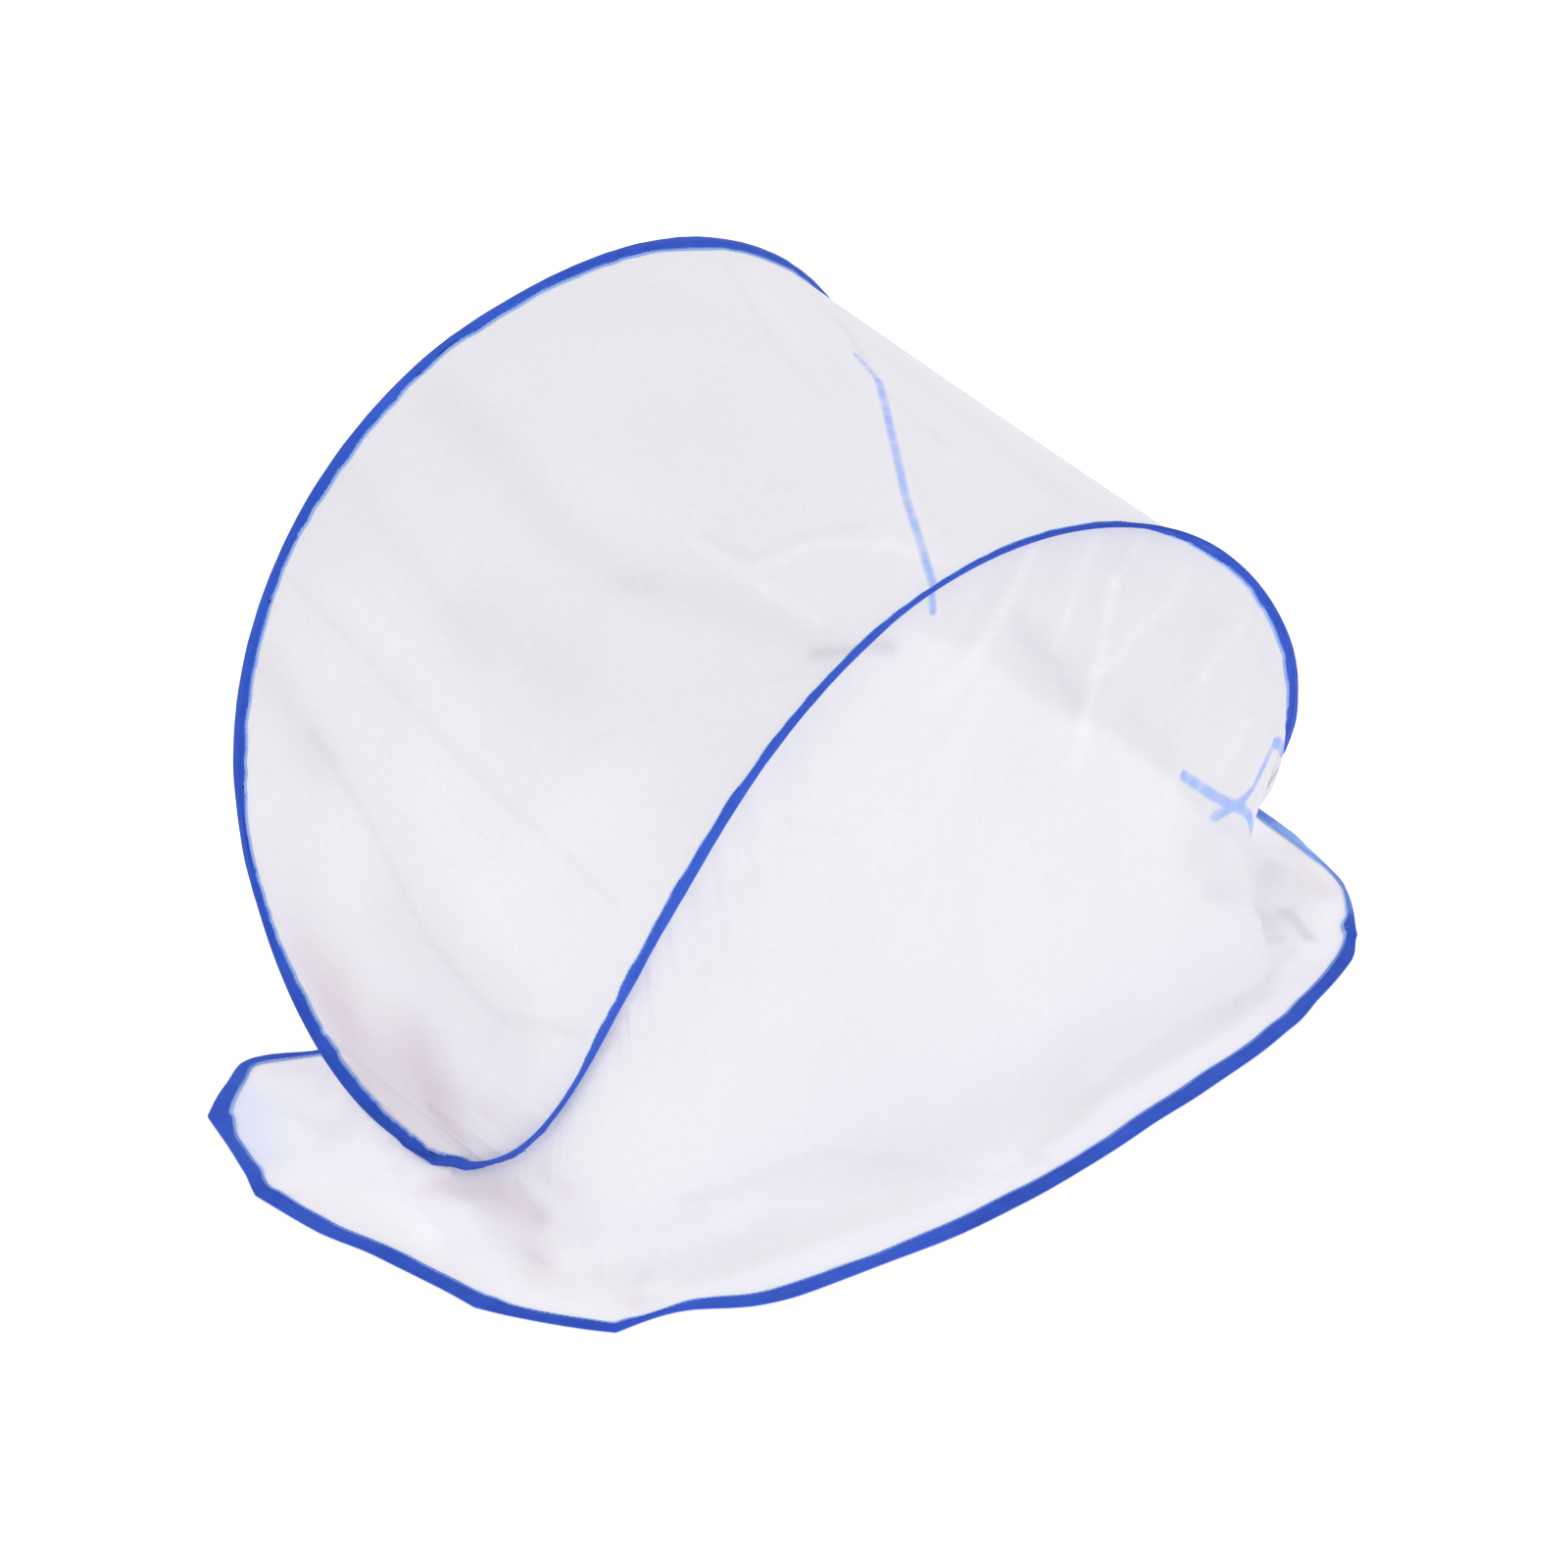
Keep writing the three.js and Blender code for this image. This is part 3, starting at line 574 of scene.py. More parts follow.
LOBES = 150  # unevenness of the sewn edge, in steps round the hoop
LOBE_DEPTH = 0.6
SCALLOPS = 380  # and the smaller waves on it
SCALLOP_DEPTH = 0.6


def reach_at(station):
    """Wire's middle to the tape's sewn edge, with the lobes that hand-fed tape has."""
    lobes = LOBE_DEPTH * uneven(station, LOBES, seed=3)
    return read_eased(TAPE_REACH, station) + lobes + SCALLOP_DEPTH * uneven(station, SCALLOPS, seed=4)


def roof_places():
    steps = STATIONS // 2 * STEPS_PER_STATION * FINE
    station = np.linspace(ROOF_FIRST, STATIONS / 2 - ROOF_FIRST, steps + 1)
    front = hoop_frame(station)
    back = hoop_frame(STATIONS - station)
    front_edge = reach_at(station)
    back_edge = reach_at(STATIONS - station)
    to_back = hoop_place(back, back_edge, 0)
    to_front = hoop_place(front, front_edge, 0)
    rows = rows_from_tape(front, 1, to_back, front_edge, False)[:-BULGE_STEPS]
    back_rows = rows_from_tape(back, 1, to_front, back_edge, False)[:-BULGE_STEPS][::-1]
    start, end = rows[-1], back_rows[0]
    span = np.linalg.norm(end - start, axis=-1)
    for step in range(1, ROOF_ROWS * FINE):
        share = step / (ROOF_ROWS * FINE)
        place = mix(start, end, share)
        place[..., 2] -= ROOF_SAG * span / (FRONT_REACH + BACK_REACH) * 4 * share * (1 - share)
        rows.append(place)
    return np.stack(rows + back_rows, axis=1)


def bezier(start, middle, end, share):
    return mix(mix(start, middle, share), mix(middle, end, share), share)


NET_EDGE_IN = 2.6  # the net's edge ends so far inside the hem's fold
NET_EDGE_START = 5  # and it enters the hem so far inward of the hem's middle


def panel_places(first, fine):
    """Places of a panel that starts at a station, in a grid so many times finer."""
    steps = STATIONS // 2 * STEPS_PER_STATION * fine
    station = np.linspace(first, first + STATIONS / 2, steps + 1)
    hoop = hoop_frame(station)
    hem = hem_frame(station)
    land = landing(station, KNEE_HEIGHT)
    hem_in = hem_place(hem, np.full_like(station, HEM_NET_IN), HEM_NET_HEIGHT)
    rows = rows_from_tape(hoop, -1, land, reach_at(station), True)
    top = rows[-1]
    hang = np.linalg.norm(land - top, axis=-1)
    skirt = np.linalg.norm(hem_in - land, axis=-1)
    knee_start = mix(land, top, np.minimum(KNEE / hang, LONGEST_KNEE)[:, None])
    knee_end = mix(land, hem_in, np.minimum(KNEE / skirt, LONGEST_KNEE)[:, None])
    for step in range(1, HANG_ROWS * fine + 1):
        rows.append(mix(top, knee_start, step / (HANG_ROWS * fine)))
    for step in range(1, KNEE_ROWS * fine + 1):
        rows.append(bezier(knee_start, land, knee_end, step / (KNEE_ROWS * fine)))
    for step in range(1, SKIRT_ROWS * fine + 1):
        rows.append(mix(knee_end, hem_in, step / (SKIRT_ROWS * fine)))
    net_edge = NET_EDGE_IN - read_eased(HEM_FOLD, station)
    for share in (0.4, 1):
        rows.append(hem_place(hem, mix(NET_EDGE_START, net_edge, share), HEM_NET_HEIGHT))
    return np.stack(rows, axis=1)


# %% [markdown]
# The tape round the hoop is made as one closed section carried round the wire: the outer
# face runs from one sewn edge over the wire's bulge to the other, and the inner face
# comes back. That keeps both plies, their cut edges and the round ridge of the wire.

# %% The hoop's tape
TAPE_STEPS = 10  # columns per station
BULGE_ANGLES = (40, 65, 90, 115, 140)
NECK = 2.3  # wire's middle to where the plies close
LIT_EDGE_WIDTH = 1.1  # width of the edge band painted pale, a painted highlight
PUCKERS = 420  # small waves in each ply, in steps round the hoop
PUCKER_DEPTH = 0.16
CUT_ROUND = 0.1  # how far the cut edge is rounded over
FOLD_SHARE = 0.4  # a row lies so far between the bulge and the fold
FOLD_HALF = 0.8  # half the thickness there
NOSE_HALF = 0.55  # and at the fold
NOSE_ROUND = 0.25
WEAR_PATCHES = 70  # uneven colour, in steps round the hoop
WEAR_DEPTH = 0.2


def tape_section(edge, fold, lift, pucker):
    """The tape's section from one sewn edge over the bulge and the fold to the other edge
    and back inside, as rows of reach, side and the share of painted edge highlight."""
    round_bulge = [math.radians(degrees) for degrees in BULGE_ANGLES]
    steady = np.zeros_like(edge)
    half = FLANGE_HALF + pucker
    neck = np.minimum(NECK, edge - 2 * LIT_EDGE_WIDTH)
    middle = (edge + neck) / 2
    upper = [(edge, half - CUT_ROUND, 1), (edge - LIT_EDGE_WIDTH, half, 0.9)]
    upper += [(edge - 2 * LIT_EDGE_WIDTH, half, 0)]
    upper += [(middle, half + pucker, 0), (neck, half, 0)]
    upper += [(steady + BULGE * math.cos(t), steady + BULGE * math.sin(t), 0) for t in round_bulge]
    beyond = np.maximum(fold - BULGE, 0)
    lower = [(reach, -side, pale) for reach, side, pale in reversed(upper)]
    near_fold = -BULGE - beyond * FOLD_SHARE
    near_lift = lift * FOLD_SHARE
    nose = NOSE_ROUND - fold
    nose_half = NOSE_HALF + pucker
    upper += [(near_fold, near_lift + FOLD_HALF, 0), (nose, lift + nose_half, 0), (-fold, lift, 0)]
    lower = [(nose, lift - nose_half, 0), (near_fold, near_lift - FOLD_HALF, 0)] + lower
    inner = [(edge, half - PLY, 1), (middle, half + pucker - PLY, 0), (neck, half - PLY, 0)]
    hollow = BULGE - PLY
    inner += [(steady + hollow * math.cos(t), steady + hollow * math.sin(t), 0) for t in round_bulge]
    inner += [(steady - hollow, steady, 0)]
    inner_lower = [(reach, -side, pale) for reach, side, pale in inner[:-1]]
    return upper + lower + inner_lower + inner[::-1] + upper[:1]


TAPE_SHADE = np.array([  # station, how deep the blue is painted there, as painted shade where the ribbon turns from the light
    (0, 0.5), (4, 0.35), (8, 0.2), (14, 0.15), (22, 0.3), (26, 0.75), (35, 0.85), (37, 0.4),
    (44, 0.2), (62, 0.2), (66, 0.7), (72, 0.45), (76, 0.25), (80, 0.5), (84, 0.8), (88, 0.6),
    (92, 0.5), (96, 0.5),
])
station = np.linspace(0, STATIONS, STATIONS * TAPE_STEPS + 1)
hoop = hoop_frame(station)
pucker = PUCKER_DEPTH * uneven(station, PUCKERS, seed=5)
fold_at = read_eased(TAPE_FOLD, station)
lift_at = read_eased(TAPE_FOLD[:, (0, 2)], station)
tape_rows = tape_section(reach_at(station), fold_at, lift_at, pucker)
rings = [hoop_place(hoop, reach, side) for reach, side, _ in tape_rows]
# Rows at the sewn edges are painted pale, as a painted highlight.
pale = np.array([[row[2] for row in tape_rows]] * len(station), float)
# The blue deepens as painted shade along some stretches of the hoop, and in random patches of wear.
shade_and_wear_depth = read_eased(TAPE_SHADE, station) + WEAR_DEPTH * uneven(station, WEAR_PATCHES, seed=8)
shade_and_wear = np.array([shade_and_wear_depth] * len(tape_rows)).T
hoop_tape = grid_piece("hoop_tape", np.stack(rings, axis=1), {"edge_highlight_and_paling": pale, "shade_and_wear": shade_and_wear}, True)

# %% [markdown]
# The hem's tape is the same ribbon, folded flat over the net's edge. It lies on the floor
# with its fold outward and its two sewn edges inward. How much of it is seen changes
# along the hem: it is narrow where the skirt has rolled over it, and a corner has a small
# tuck, where the sewer folded the ribbon on itself to get round.

# %% The hem's tape
HEM_REACH = np.array([  # station, hem's middle inward to the sewn edge
    (0, 3), (2, 4.2), (4, 6.6), (6, 7.2), (8, 3), (10, 2.7), (12, 0.8), (14, 3.4), (16, 4.2),
    (18, 3.2), (20, 3.8), (22, 5.4), (24, 4.6), (26, 4.9), (28, 3.5), (30, 2.4), (32, 3.9),
    (34, 5.4), (36, 5.4), (38.4, 5.4), (39.4, 2.4), (41, 1), (42.5, 1), (44, 2.4), (45, 3),
    (48, 3.6), (72, 3.6), (85, 1.2), (86.5, 3.4), (88, 7.5), (90, 6.4), (92, 4), (94, 4.3), (96, 3),
], float)
HEM_FOLD = np.array([  # station, hem's middle outward to the fold
    (0, 6.8), (2, 6.8), (4, 3.6), (6, 3.2), (8, 5.2), (10, 5.2), (12, 3), (14, 6.4), (18, 6.4),
    (20, 7.8), (22, 6.4), (24, 5.8), (26, 6.4), (28, 8.8), (30, 9), (32, 7.2), (34, 4.2),
    (36, 4.6), (38, 1.4), (39.4, 2.2), (41.5, 1.8), (43, 4), (44, 6), (46, 6), (48, 5.4),
    (86, 5.4), (88, 2.6), (90, 5), (92, 4.4), (94, 4.8), (96, 6.8),
], float)
HEM_PALE = np.array([  # station, how far the tape has faded there
    (0, 0), (38.8, 0), (39.6, 0.4), (41.5, 0.4), (43, 0.9), (44.3, 0.75), (45.2, 0.3), (46.5, 0),
    (96, 0),
], float)
HEM_CORNERS = (0, 7, 11, 38, 90)
HEM_SPREAD = 0.55  # how far a corner's tuck runs, in stations
HEM_TUCK = 1.5
HEM_RISE = 0.45
TUCK_AHEAD = 0.3  # a tuck's middle lies so many stations past its corner
HEM_LOBES = 110
HEM_LOBE_DEPTH = 0.6
HEM_PUCKER = 0.12
HEM_TOP = 2.1  # height of the folded tape
HEM_WEAR = 0.4
HEM_WEAR_PATCHES = 60
HEM_WEAR_DEPTH = 0.25


def hem_tucks(station):
    """1 at a corner's tuck and 0 away from it."""
    tuck = np.zeros_like(station)
    for corner in HEM_CORNERS:
        away = np.mod(station - corner - TUCK_AHEAD + STATIONS / 2, STATIONS) - STATIONS / 2
        tuck += np.exp(-((away / HEM_SPREAD) ** 2))
    return tuck


def hem_section(edge, fold, tuck, pucker):
    """The folded hem tape's section as rows of inward, height and painted edge highlight.
    It starts below the sewn edge, goes out to the fold and back over the top, and returns inside."""
    steady = np.zeros_like(edge)
    top = HEM_TOP + HEM_RISE * tuck + pucker
    fold = -fold
    under = [(edge, steady + 0.08, 1), (mix(fold, edge, 0.6), steady + 0.04, 0)]
    under += [(mix(fold, edge, 0.15), steady + 0.1, 0)]
    nose = [(fold + 0.12, steady + 0.6, 0), (fold, steady + 1.1, 0)]
    nose += [(fold + 0.12, top - 0.5, 0), (fold + 0.7, top - 0.1, 0)]
    over = [(mix(fold, edge, 0.35), top + 0.1, 0), (mix(fold, edge, 0.65), top + pucker, 0)]
    over += [(edge - 2 * LIT_EDGE_WIDTH, top, 0), (edge - LIT_EDGE_WIDTH, top - 0.05, 0.9), (edge, top - 0.2, 1)]
    inside = [(edge, top - 0.5, 1), (mix(fold, edge, 0.5), top - 0.35, 0)]
    inside += [(fold + 0.6, top - 0.6, 0), (fold + 0.6, steady + 0.5, 0)]
    inside += [(mix(fold, edge, 0.5), steady + 0.4, 0), (edge, steady + 0.4, 1)]
    return under + nose + over + inside + under[:1]


hem = hem_frame(station)
hem_edge = read_eased(HEM_REACH, station) + HEM_LOBE_DEPTH * uneven(station, HEM_LOBES, seed=11)
hem_edge = hem_edge + HEM_TUCK * hem_tucks(station)
pucker = HEM_PUCKER * uneven(station, PUCKERS, seed=12)
hem_fold = read_eased(HEM_FOLD, station)
hem_rows = hem_section(hem_edge, hem_fold, hem_tucks(station), pucker)
rings = [hem_place(hem, inward, height) for inward, height, _ in hem_rows]
# Rows at the sewn edge get a painted highlight, and the hem's paler stretch is added to it.
pale = np.array([[row[2] for row in hem_rows]] * len(station), float)
pale = np.maximum(pale, read_eased(HEM_PALE, station)[:, None])
shade_and_wear_depth = HEM_WEAR + HEM_WEAR_DEPTH * uneven(station, HEM_WEAR_PATCHES, seed=9)
shade_and_wear = np.array([shade_and_wear_depth] * len(hem_rows)).T
hem_tape = grid_piece("hem_tape", np.stack(rings, axis=1), {"edge_highlight_and_paling": pale, "shade_and_wear": shade_and_wear}, True)

# %% [markdown]
# Both tapes are closed with one line of lockstitch. A stitch is no more than a short
# lump of thread here, a five-sided rod half sunk in the tape, but there are two thousand of
# them, and from close by they are what makes a tape look sewn.

# %% Stitches
STITCH_PITCH = 3.4
STITCH_LENGTH = 2.5
THREAD = 0.2  # radius
STITCH_SIDES = 5
STITCH_FROM_EDGE = 1.3
HEM_STITCH_HEIGHT = 2.15


def even_stations(line, pitch):
    """Stations that lie a pitch apart along a closed line of places."""
    walked = np.concatenate([[0], np.cumsum(np.linalg.norm(np.diff(line, axis=0), axis=-1))])
    count = int(walked[-1] / pitch)
    return np.interp(np.linspace(0, walked[-1], count, endpoint=False), walked, station)


def add_stitch(bm, middle, along, out):
    """One stitch: a rod along the seam, half sunk in the tape."""
    along = Vector(along).normalized()
    out = Vector(out)
    side = out.cross(along).normalized()
    out = along.cross(side)
    turn = Matrix((side, out, along)).transposed().to_4x4()
    place = Matrix.Translation(Vector((middle - MIDDLE) * MM))
    bmesh.ops.create_cone(
        bm, cap_ends=True, segments=STITCH_SIDES, radius1=THREAD * MM, radius2=THREAD * MM,
        depth=STITCH_LENGTH * MM, matrix=place @ turn,
    )


def sewn_line(name, rows):
    """All stitches of one seam. rows are (middle, along, out) arrays."""
    bm = bmesh.new()
    for middles, alongs, outs in rows:
        for middle, along, out in zip(middles, alongs, outs):
            add_stitch(bm, middle, along, out)
    for face in bm.faces:
        face.smooth = True
    return finished(name, bm)


at = even_stations(hoop["at"], STITCH_PITCH)
sewn = hoop_frame(at)
seam_reach = reach_at(at) - STITCH_FROM_EDGE
seam_half = FLANGE_HALF + PUCKER_DEPTH * uneven(at, PUCKERS, seed=5)
roof_side = hoop_place(sewn, seam_reach, seam_half)
panel_side = hoop_place(sewn, seam_reach, -seam_half)
hoop_stitches = sewn_line("hoop_stitches", [
    (roof_side, sewn["along"], sewn["roof_side"]),
    (panel_side, sewn["along"], -sewn["roof_side"]),
])
at = even_stations(hem["at"], STITCH_PITCH)
sewn = hem_frame(at)
seam_in = read_eased(HEM_REACH, at) - STITCH_FROM_EDGE
seam_up = HEM_STITCH_HEIGHT + HEM_RISE * hem_tucks(at)
on_top = hem_place(sewn, seam_in, seam_up)
upward = np.tile(UP, (len(at), 1))
hem_stitches = sewn_line("hem_stitches", [(on_top, sewn["along"], upward)])

# %% [markdown]
# Net isn't equally clear all over. It is clear where a single layer is pulled tight, its
# creases and folds carry painted shade and painted highlights, and faint tints lie on it.
# Each mark is a soft patch round a line on the cloth, with a width and a strength. The
# places are given as a cutter would: how far round the hoop, as a station, and how far
# down the cloth, as a share of its length from the front arch or from the hoop.
#
# The marks are kept as values on the mesh for the material to read: shade (painted shade
# above zero, painted highlight below), a dusty rose tint, chill (pale blue) and sheer (a
# narrow strip, clearer and bluer).

# %% Marks on the roof
ROOF_SHADES = [  # width, amount (painted shade above zero, painted highlight below), then places along the line
    (14, 0.2, (19.8, 0.94), (19.5, 0.73), (19.2, 0.58), (19.2, 0.41), (19.8, 0.25), (20.3, 0.06)),
    (8, 0.1, (19.2, 0.41), (19.4, 0.36)),
    (4, -0.16, (20.4, 0.37), (20.5, 0.23), (20.6, 0.09)),
    (4, -0.14, (20.7, 0.24), (21.6, 0.2), (22.4, 0.12), (22.7, 0.03)),
    (4, 0.12, (20.6, 0.36), (20.8, 0.26), (21.5, 0.24), (22.4, 0.18)),
    (25, 0.2, (17.2, 0.6), (17.3, 0.39)),
    (11, 0.1, (17.7, 0.98), (17.2, 0.78), (16.7, 0.55)),
    (3, 0.14, (15.6, 0.98), (15.3, 0.76), (15.1, 0.57), (14.9, 0.4), (14.6, 0.09)),
    (7, -0.08, (16, 0.9), (15.8, 0.7), (15.5, 0.5)),
    (4, 0.16, (13.4, 0.83), (12.4, 0.62), (11, 0.44), (10.5, 0.24), (11.6, 0.04)),
    (30, 0.24, (11.1, 0.52), (10.1, 0.2)),
    (22, 0.16, (13.8, 0.97), (13.2, 0.82)),
    (30, 0.12, (9.5, 0.9), (7.5, 0.6)),
    (3, 0.1, (25.9, 0.94), (24.7, 0.67), (24.3, 0.5)),
    (5, -0.08, (26.4, 0.94), (25.2, 0.67)),
    (33, 0.08, (22.2, 0.55)),
    (3, 0.12, (25.3, 0.46), (25.1, 0.28)),
    (3, 0.1, (24, 0.26), (23.1, 0.06)),
    (4, 0.1, (22, 0.35)),
    (4, 0.1, (21, 0.35)),
    (3, 0.1, (16.3, 0.3), (20, 0.02)),
    (14, 0.1, (26.8, 0.6), (26, 0.1)),
    (2.4, 0.12, (26.8, 0.72), (25.6, 0.52)),
    (4, 0.5, (20.1, 0.05), (20.5, 0.0)),
    (22, 0.26, (7.6, 0.42), (6.6, 0.36)),
    (26, -0.12, (13, 0.3), (16, 0.2)),
]
# Faint dusty rose tints: width, amount, then places along the line.
ROOF_ROSE = [
    (11, 0.3, (14, 0.96), (13.1, 0.79)),
    (2.4, 0.35, (26.9, 0.75), (25.6, 0.52)),
    (4, 0.25, (20.1, 0.05), (20.5, 0.0)),
    (16, 0.3, (8.4, 0.89), (8.2, 0.72)),
    (17, 0.45, (7.3, 0.88), (6.8, 0.74)),
    (26, 0.42, (6.6, 0.78), (6.8, 0.43)),
    (20, 0.48, (7.9, 0.43), (6.4, 0.34)),
    (18, 0.3, (4.4, 0.8), (4.4, 0.3)),
    (5, 0.6, (5.2, 0.35), (4.7, 0.15)),
    (13, 0.35, (3.4, 0.83), (2, 0.56)),
    (11, 0.3, (7.4, 0.18), (7.9, 0.06)),
    (30, 0.12, (5, 0.8), (6, 0.2)),
]
ROOF_SHEERS = [
    (1.1, 0.94, (25.9, 0.6), (25.55, 0.51)),
    (1.1, 1, (25.55, 0.51), (23.4, 0.2), (22.25, 0.0)),
]

# %% Marks on the two panels
FRONT_SHADES = [
    (4, 0.5, (20.8, 0.015), (21.3, 0.05)),
    (4, 0.35, (6.5, 0.19), (8.3, 0.43)),
    (9, 0.12, (2.9, 0.29), (5.6, 0.21)),
    (12, 0.12, (5.9, 0.3), (8.8, 0.62)),
    (12, -0.22, (0.0, 0.32), (4.5, 0.68)),
    (5, -0.12, (0.5, 0.2), (5.6, 0.53)),
    (4, 0.12, (1.1, 0.34), (5.4, 0.72)),
    (8, -0.2, (9.7, 0.68), (16.3, 0.78)),
    (5, 0.1, (9.7, 0.59), (16.2, 0.75)),
    (4, 0.14, (12.6, 0.83), (11.9, 0.91)),
    (4, -0.26, (24.4, 0.03), (23.5, 0.09), (23, 0.13)),
    (6, -0.16, (23, 0.13), (22.3, 0.17)),
    (3.6, -0.16, (25.9, 0.02), (24.8, 0.17)),
    (3, -0.2, (27, 0.03), (26.2, 0.1)),
    (4, -0.26, (26.2, 0.1), (25.9, 0.21), (25.5, 0.31)),
    (6, -0.16, (25.5, 0.31), (25.3, 0.36)),
    (3.5, -0.16, (28.4, 0.05), (27.6, 0.13), (25.8, 0.23)),
    (3.5, -0.12, (30.6, 0.06), (28.9, 0.21), (28, 0.3)),
    (3.5, -0.12, (30.8, 0.26), (29.8, 0.38)),
    (9, 0.26, (24, 0.12), (25.4, 0.26)),
    (9, 0.1, (26.8, 0.3), (29, 0.44)),
    (20, 0.26, (29.4, 0.53), (37.6, 0.73)),
    (24, 0.34, (38.5, 0.55), (41, 0.75), (44, 0.8)),
    (12, 0.2, (39, 0.8), (41, 0.9)),
    (5, 0.6, (39.2, 0.77), (37.5, 0.86)),
    (5, 0.3, (33.5, 0.66), (36.9, 0.76)),
    (7, 0.2, (29.7, 0.61), (39.1, 0.68)),
    (3, 0.2, (36.4, 0.82), (31, 0.87)),
    (5, 0.18, (31, 0.87), (29.1, 0.87), (26.6, 0.89), (24.8, 0.92), (23.5, 0.92)),
    (3, 0.08, (18.4, 0.14), (20, 0.26)),
    (5, 0.12, (14.4, 0.66), (18.5, 0.75), (22.2, 0.91)),
    (7, -0.14, (15.5, 0.74), (19.9, 0.87)),
]
FRONT_ROSE = [
    (4, 0.25, (20.8, 0.015), (21.3, 0.05)),
    (8, 0.75, (2.9, 0.29), (5.6, 0.21), (8.3, 0.43)),
    (8, 0.4, (7.9, 0.21), (9.5, 0.39)),
    (11, 0.35, (5.9, 0.3), (8.8, 0.62)),
    (12, 0.25, (8.6, 0.72), (11.8, 0.91)),
    (11, 0.2, (0.4, 0.87), (6.6, 0.87)),
    (8, 0.4, (43.2, 0.93), (40.5, 0.94)),
    (26, 0.1, (14, 0.25), (16.4, 0.21)),
    (9, 0.2, (23.5, 0.93), (25.4, 0.9), (35.5, 0.92)),
    (7, 0.2, (11.8, 0.93), (23.5, 0.95)),
]
FRONT_SHEERS = [
    (1.3, 1, (22.25, 0.0), (22.2, 0.038)),
    (3, 0.95, (35.1, 0.11), (34.6, 0.135), (34.1, 0.16), (33.5, 0.19), (33, 0.22)),
    (2.2, 1, (33, 0.22), (31.5, 0.38), (29.7, 0.47)),
    (2, 1, (28.5, 0.4), (29.7, 0.43), (31.5, 0.45), (33.1, 0.485)),
]
VEIL_EDGE = np.array([  # station, share of the way down where the painted shade of the dim inside, seen through the net, ends
    (20, 0), (21.6, 0.03), (23.2, 0.15), (24.7, 0.26), (26.2, 0.33), (27.9, 0.4), (29.3, 0.47),
    (32, 0.56), (37, 0.62), (48, 0.62),
])
VEIL_SOFT = 14
# How grey the painted shade is where the dim inside shows through the front panel.
VEIL_SHADE = 0.24
VEIL_FADE = (37, 44)  # stations between which that painted shade fades out
BACK_SHADES = [
    (12, -0.2, (92.8, 0.14), (92.4, 0.32)),
    (12, -0.22, (95.4, 0.22), (96, 0.32)),
    (10, 0.08, (93.5, 0.3), (94.5, 0.6)),
]
BACK_ROSE = [
    (8, 0.3, (87.4, 0.88), (86.5, 0.81)),
    (11, 0.15, (93.5, 0.87), (96, 0.87)),
]
BACK_CHILLS = [
    (17, 0.9, (89.5, 0.9), (93.3, 0.92)),
]
SHEER_FADE = 12  # a sheer strip's value falls to nothing at this distance
OFF_SURFACE = 4  # a line's straight run may leave the cloth by so much


def spot_on(places, stations, share_down, spot):
    """The place on a cloth at a station and a share of the way down."""
    station, share = spot
    column = np.abs(stations - station).argmin()
    row = np.interp(share, share_down[column], np.arange(places.shape[1]))
    low = min(int(row), places.shape[1] - 2)
    return mix(places[column, low], places[column, low + 1], row - low)


def distance_on_cloth(places, normals, spots):
    """How far each place lies from a line over the cloth, measured along the cloth."""
    nearest = np.full(places.shape[:2], np.inf)
    for start, end in zip(spots[:-1], spots[1:]):
        line = end - start
        share = np.clip(((places - start) @ line) / max(line @ line, TINY), 0, 1)
        offset = places - start - share[..., None] * line
        off = dot(offset, normals)
        along = np.linalg.norm(offset - off * normals, axis=-1)
        beyond = np.maximum(np.abs(off[..., 0]) - OFF_SURFACE, 0)
        nearest = np.minimum(nearest, np.hypot(along, beyond))
    return nearest


def cloth_values(places, stations, shades, rose_marks, chills=(), sheers=()):
    """The four values that the net's material reads, for each corner of a cloth."""
    _, down = along_columns(places)
    share_down = down / down[:, -1:]
    normals = cloth_normals(places)

    def away_from(marks):
        for width, amount, *line in marks:
            spots = [spot_on(places, stations, share_down, spot) for spot in line]
            spots = spots * 2 if len(spots) == 1 else spots
            yield width, amount, distance_on_cloth(places, normals, spots)

    values = {}
    for key, marks in (("shade", shades), ("rose_tint", rose_marks), ("chill", chills)):
        values[key] = np.zeros(places.shape[:2])
        for width, amount, away in away_from(marks):
            values[key] += amount * np.exp(-((away / width) ** 2))
    values["sheer"] = np.zeros(places.shape[:2])
    for width, amount, away in away_from(sheers):
        values["sheer"] = np.maximum(values["sheer"], amount - (away - width) / SHEER_FADE)
    return values


# %% The three nets
roof = roof_places()
roof_first = 1 + TURN_STEPS
roof_fade = held_fade(roof, roof_first, roof.shape[1] - 1 - roof_first, HELD_WIDTH)
roof = add_folds(roof, ROOF_FOLDS, roof_fade, 1)
at = np.linspace(ROOF_FIRST, STATIONS / 2 - ROOF_FIRST, len(roof))
roof_marks = cloth_values(roof, at, ROOF_SHADES, ROOF_ROSE, sheers=ROOF_SHEERS)
roof_cloth = grid_piece("roof_cloth", roof, roof_marks)

front = panel_places(0, FINE)
front_fade = held_fade(front, FIRST_FREE, front.shape[1] - 3, HELD_WIDTH)
front = add_folds(front, FRONT_FOLDS, front_fade, -1)
at = np.linspace(0, STATIONS / 2, len(front))
front_marks = cloth_values(front, at, FRONT_SHADES, FRONT_ROSE, sheers=FRONT_SHEERS)
_, down = along_columns(front)
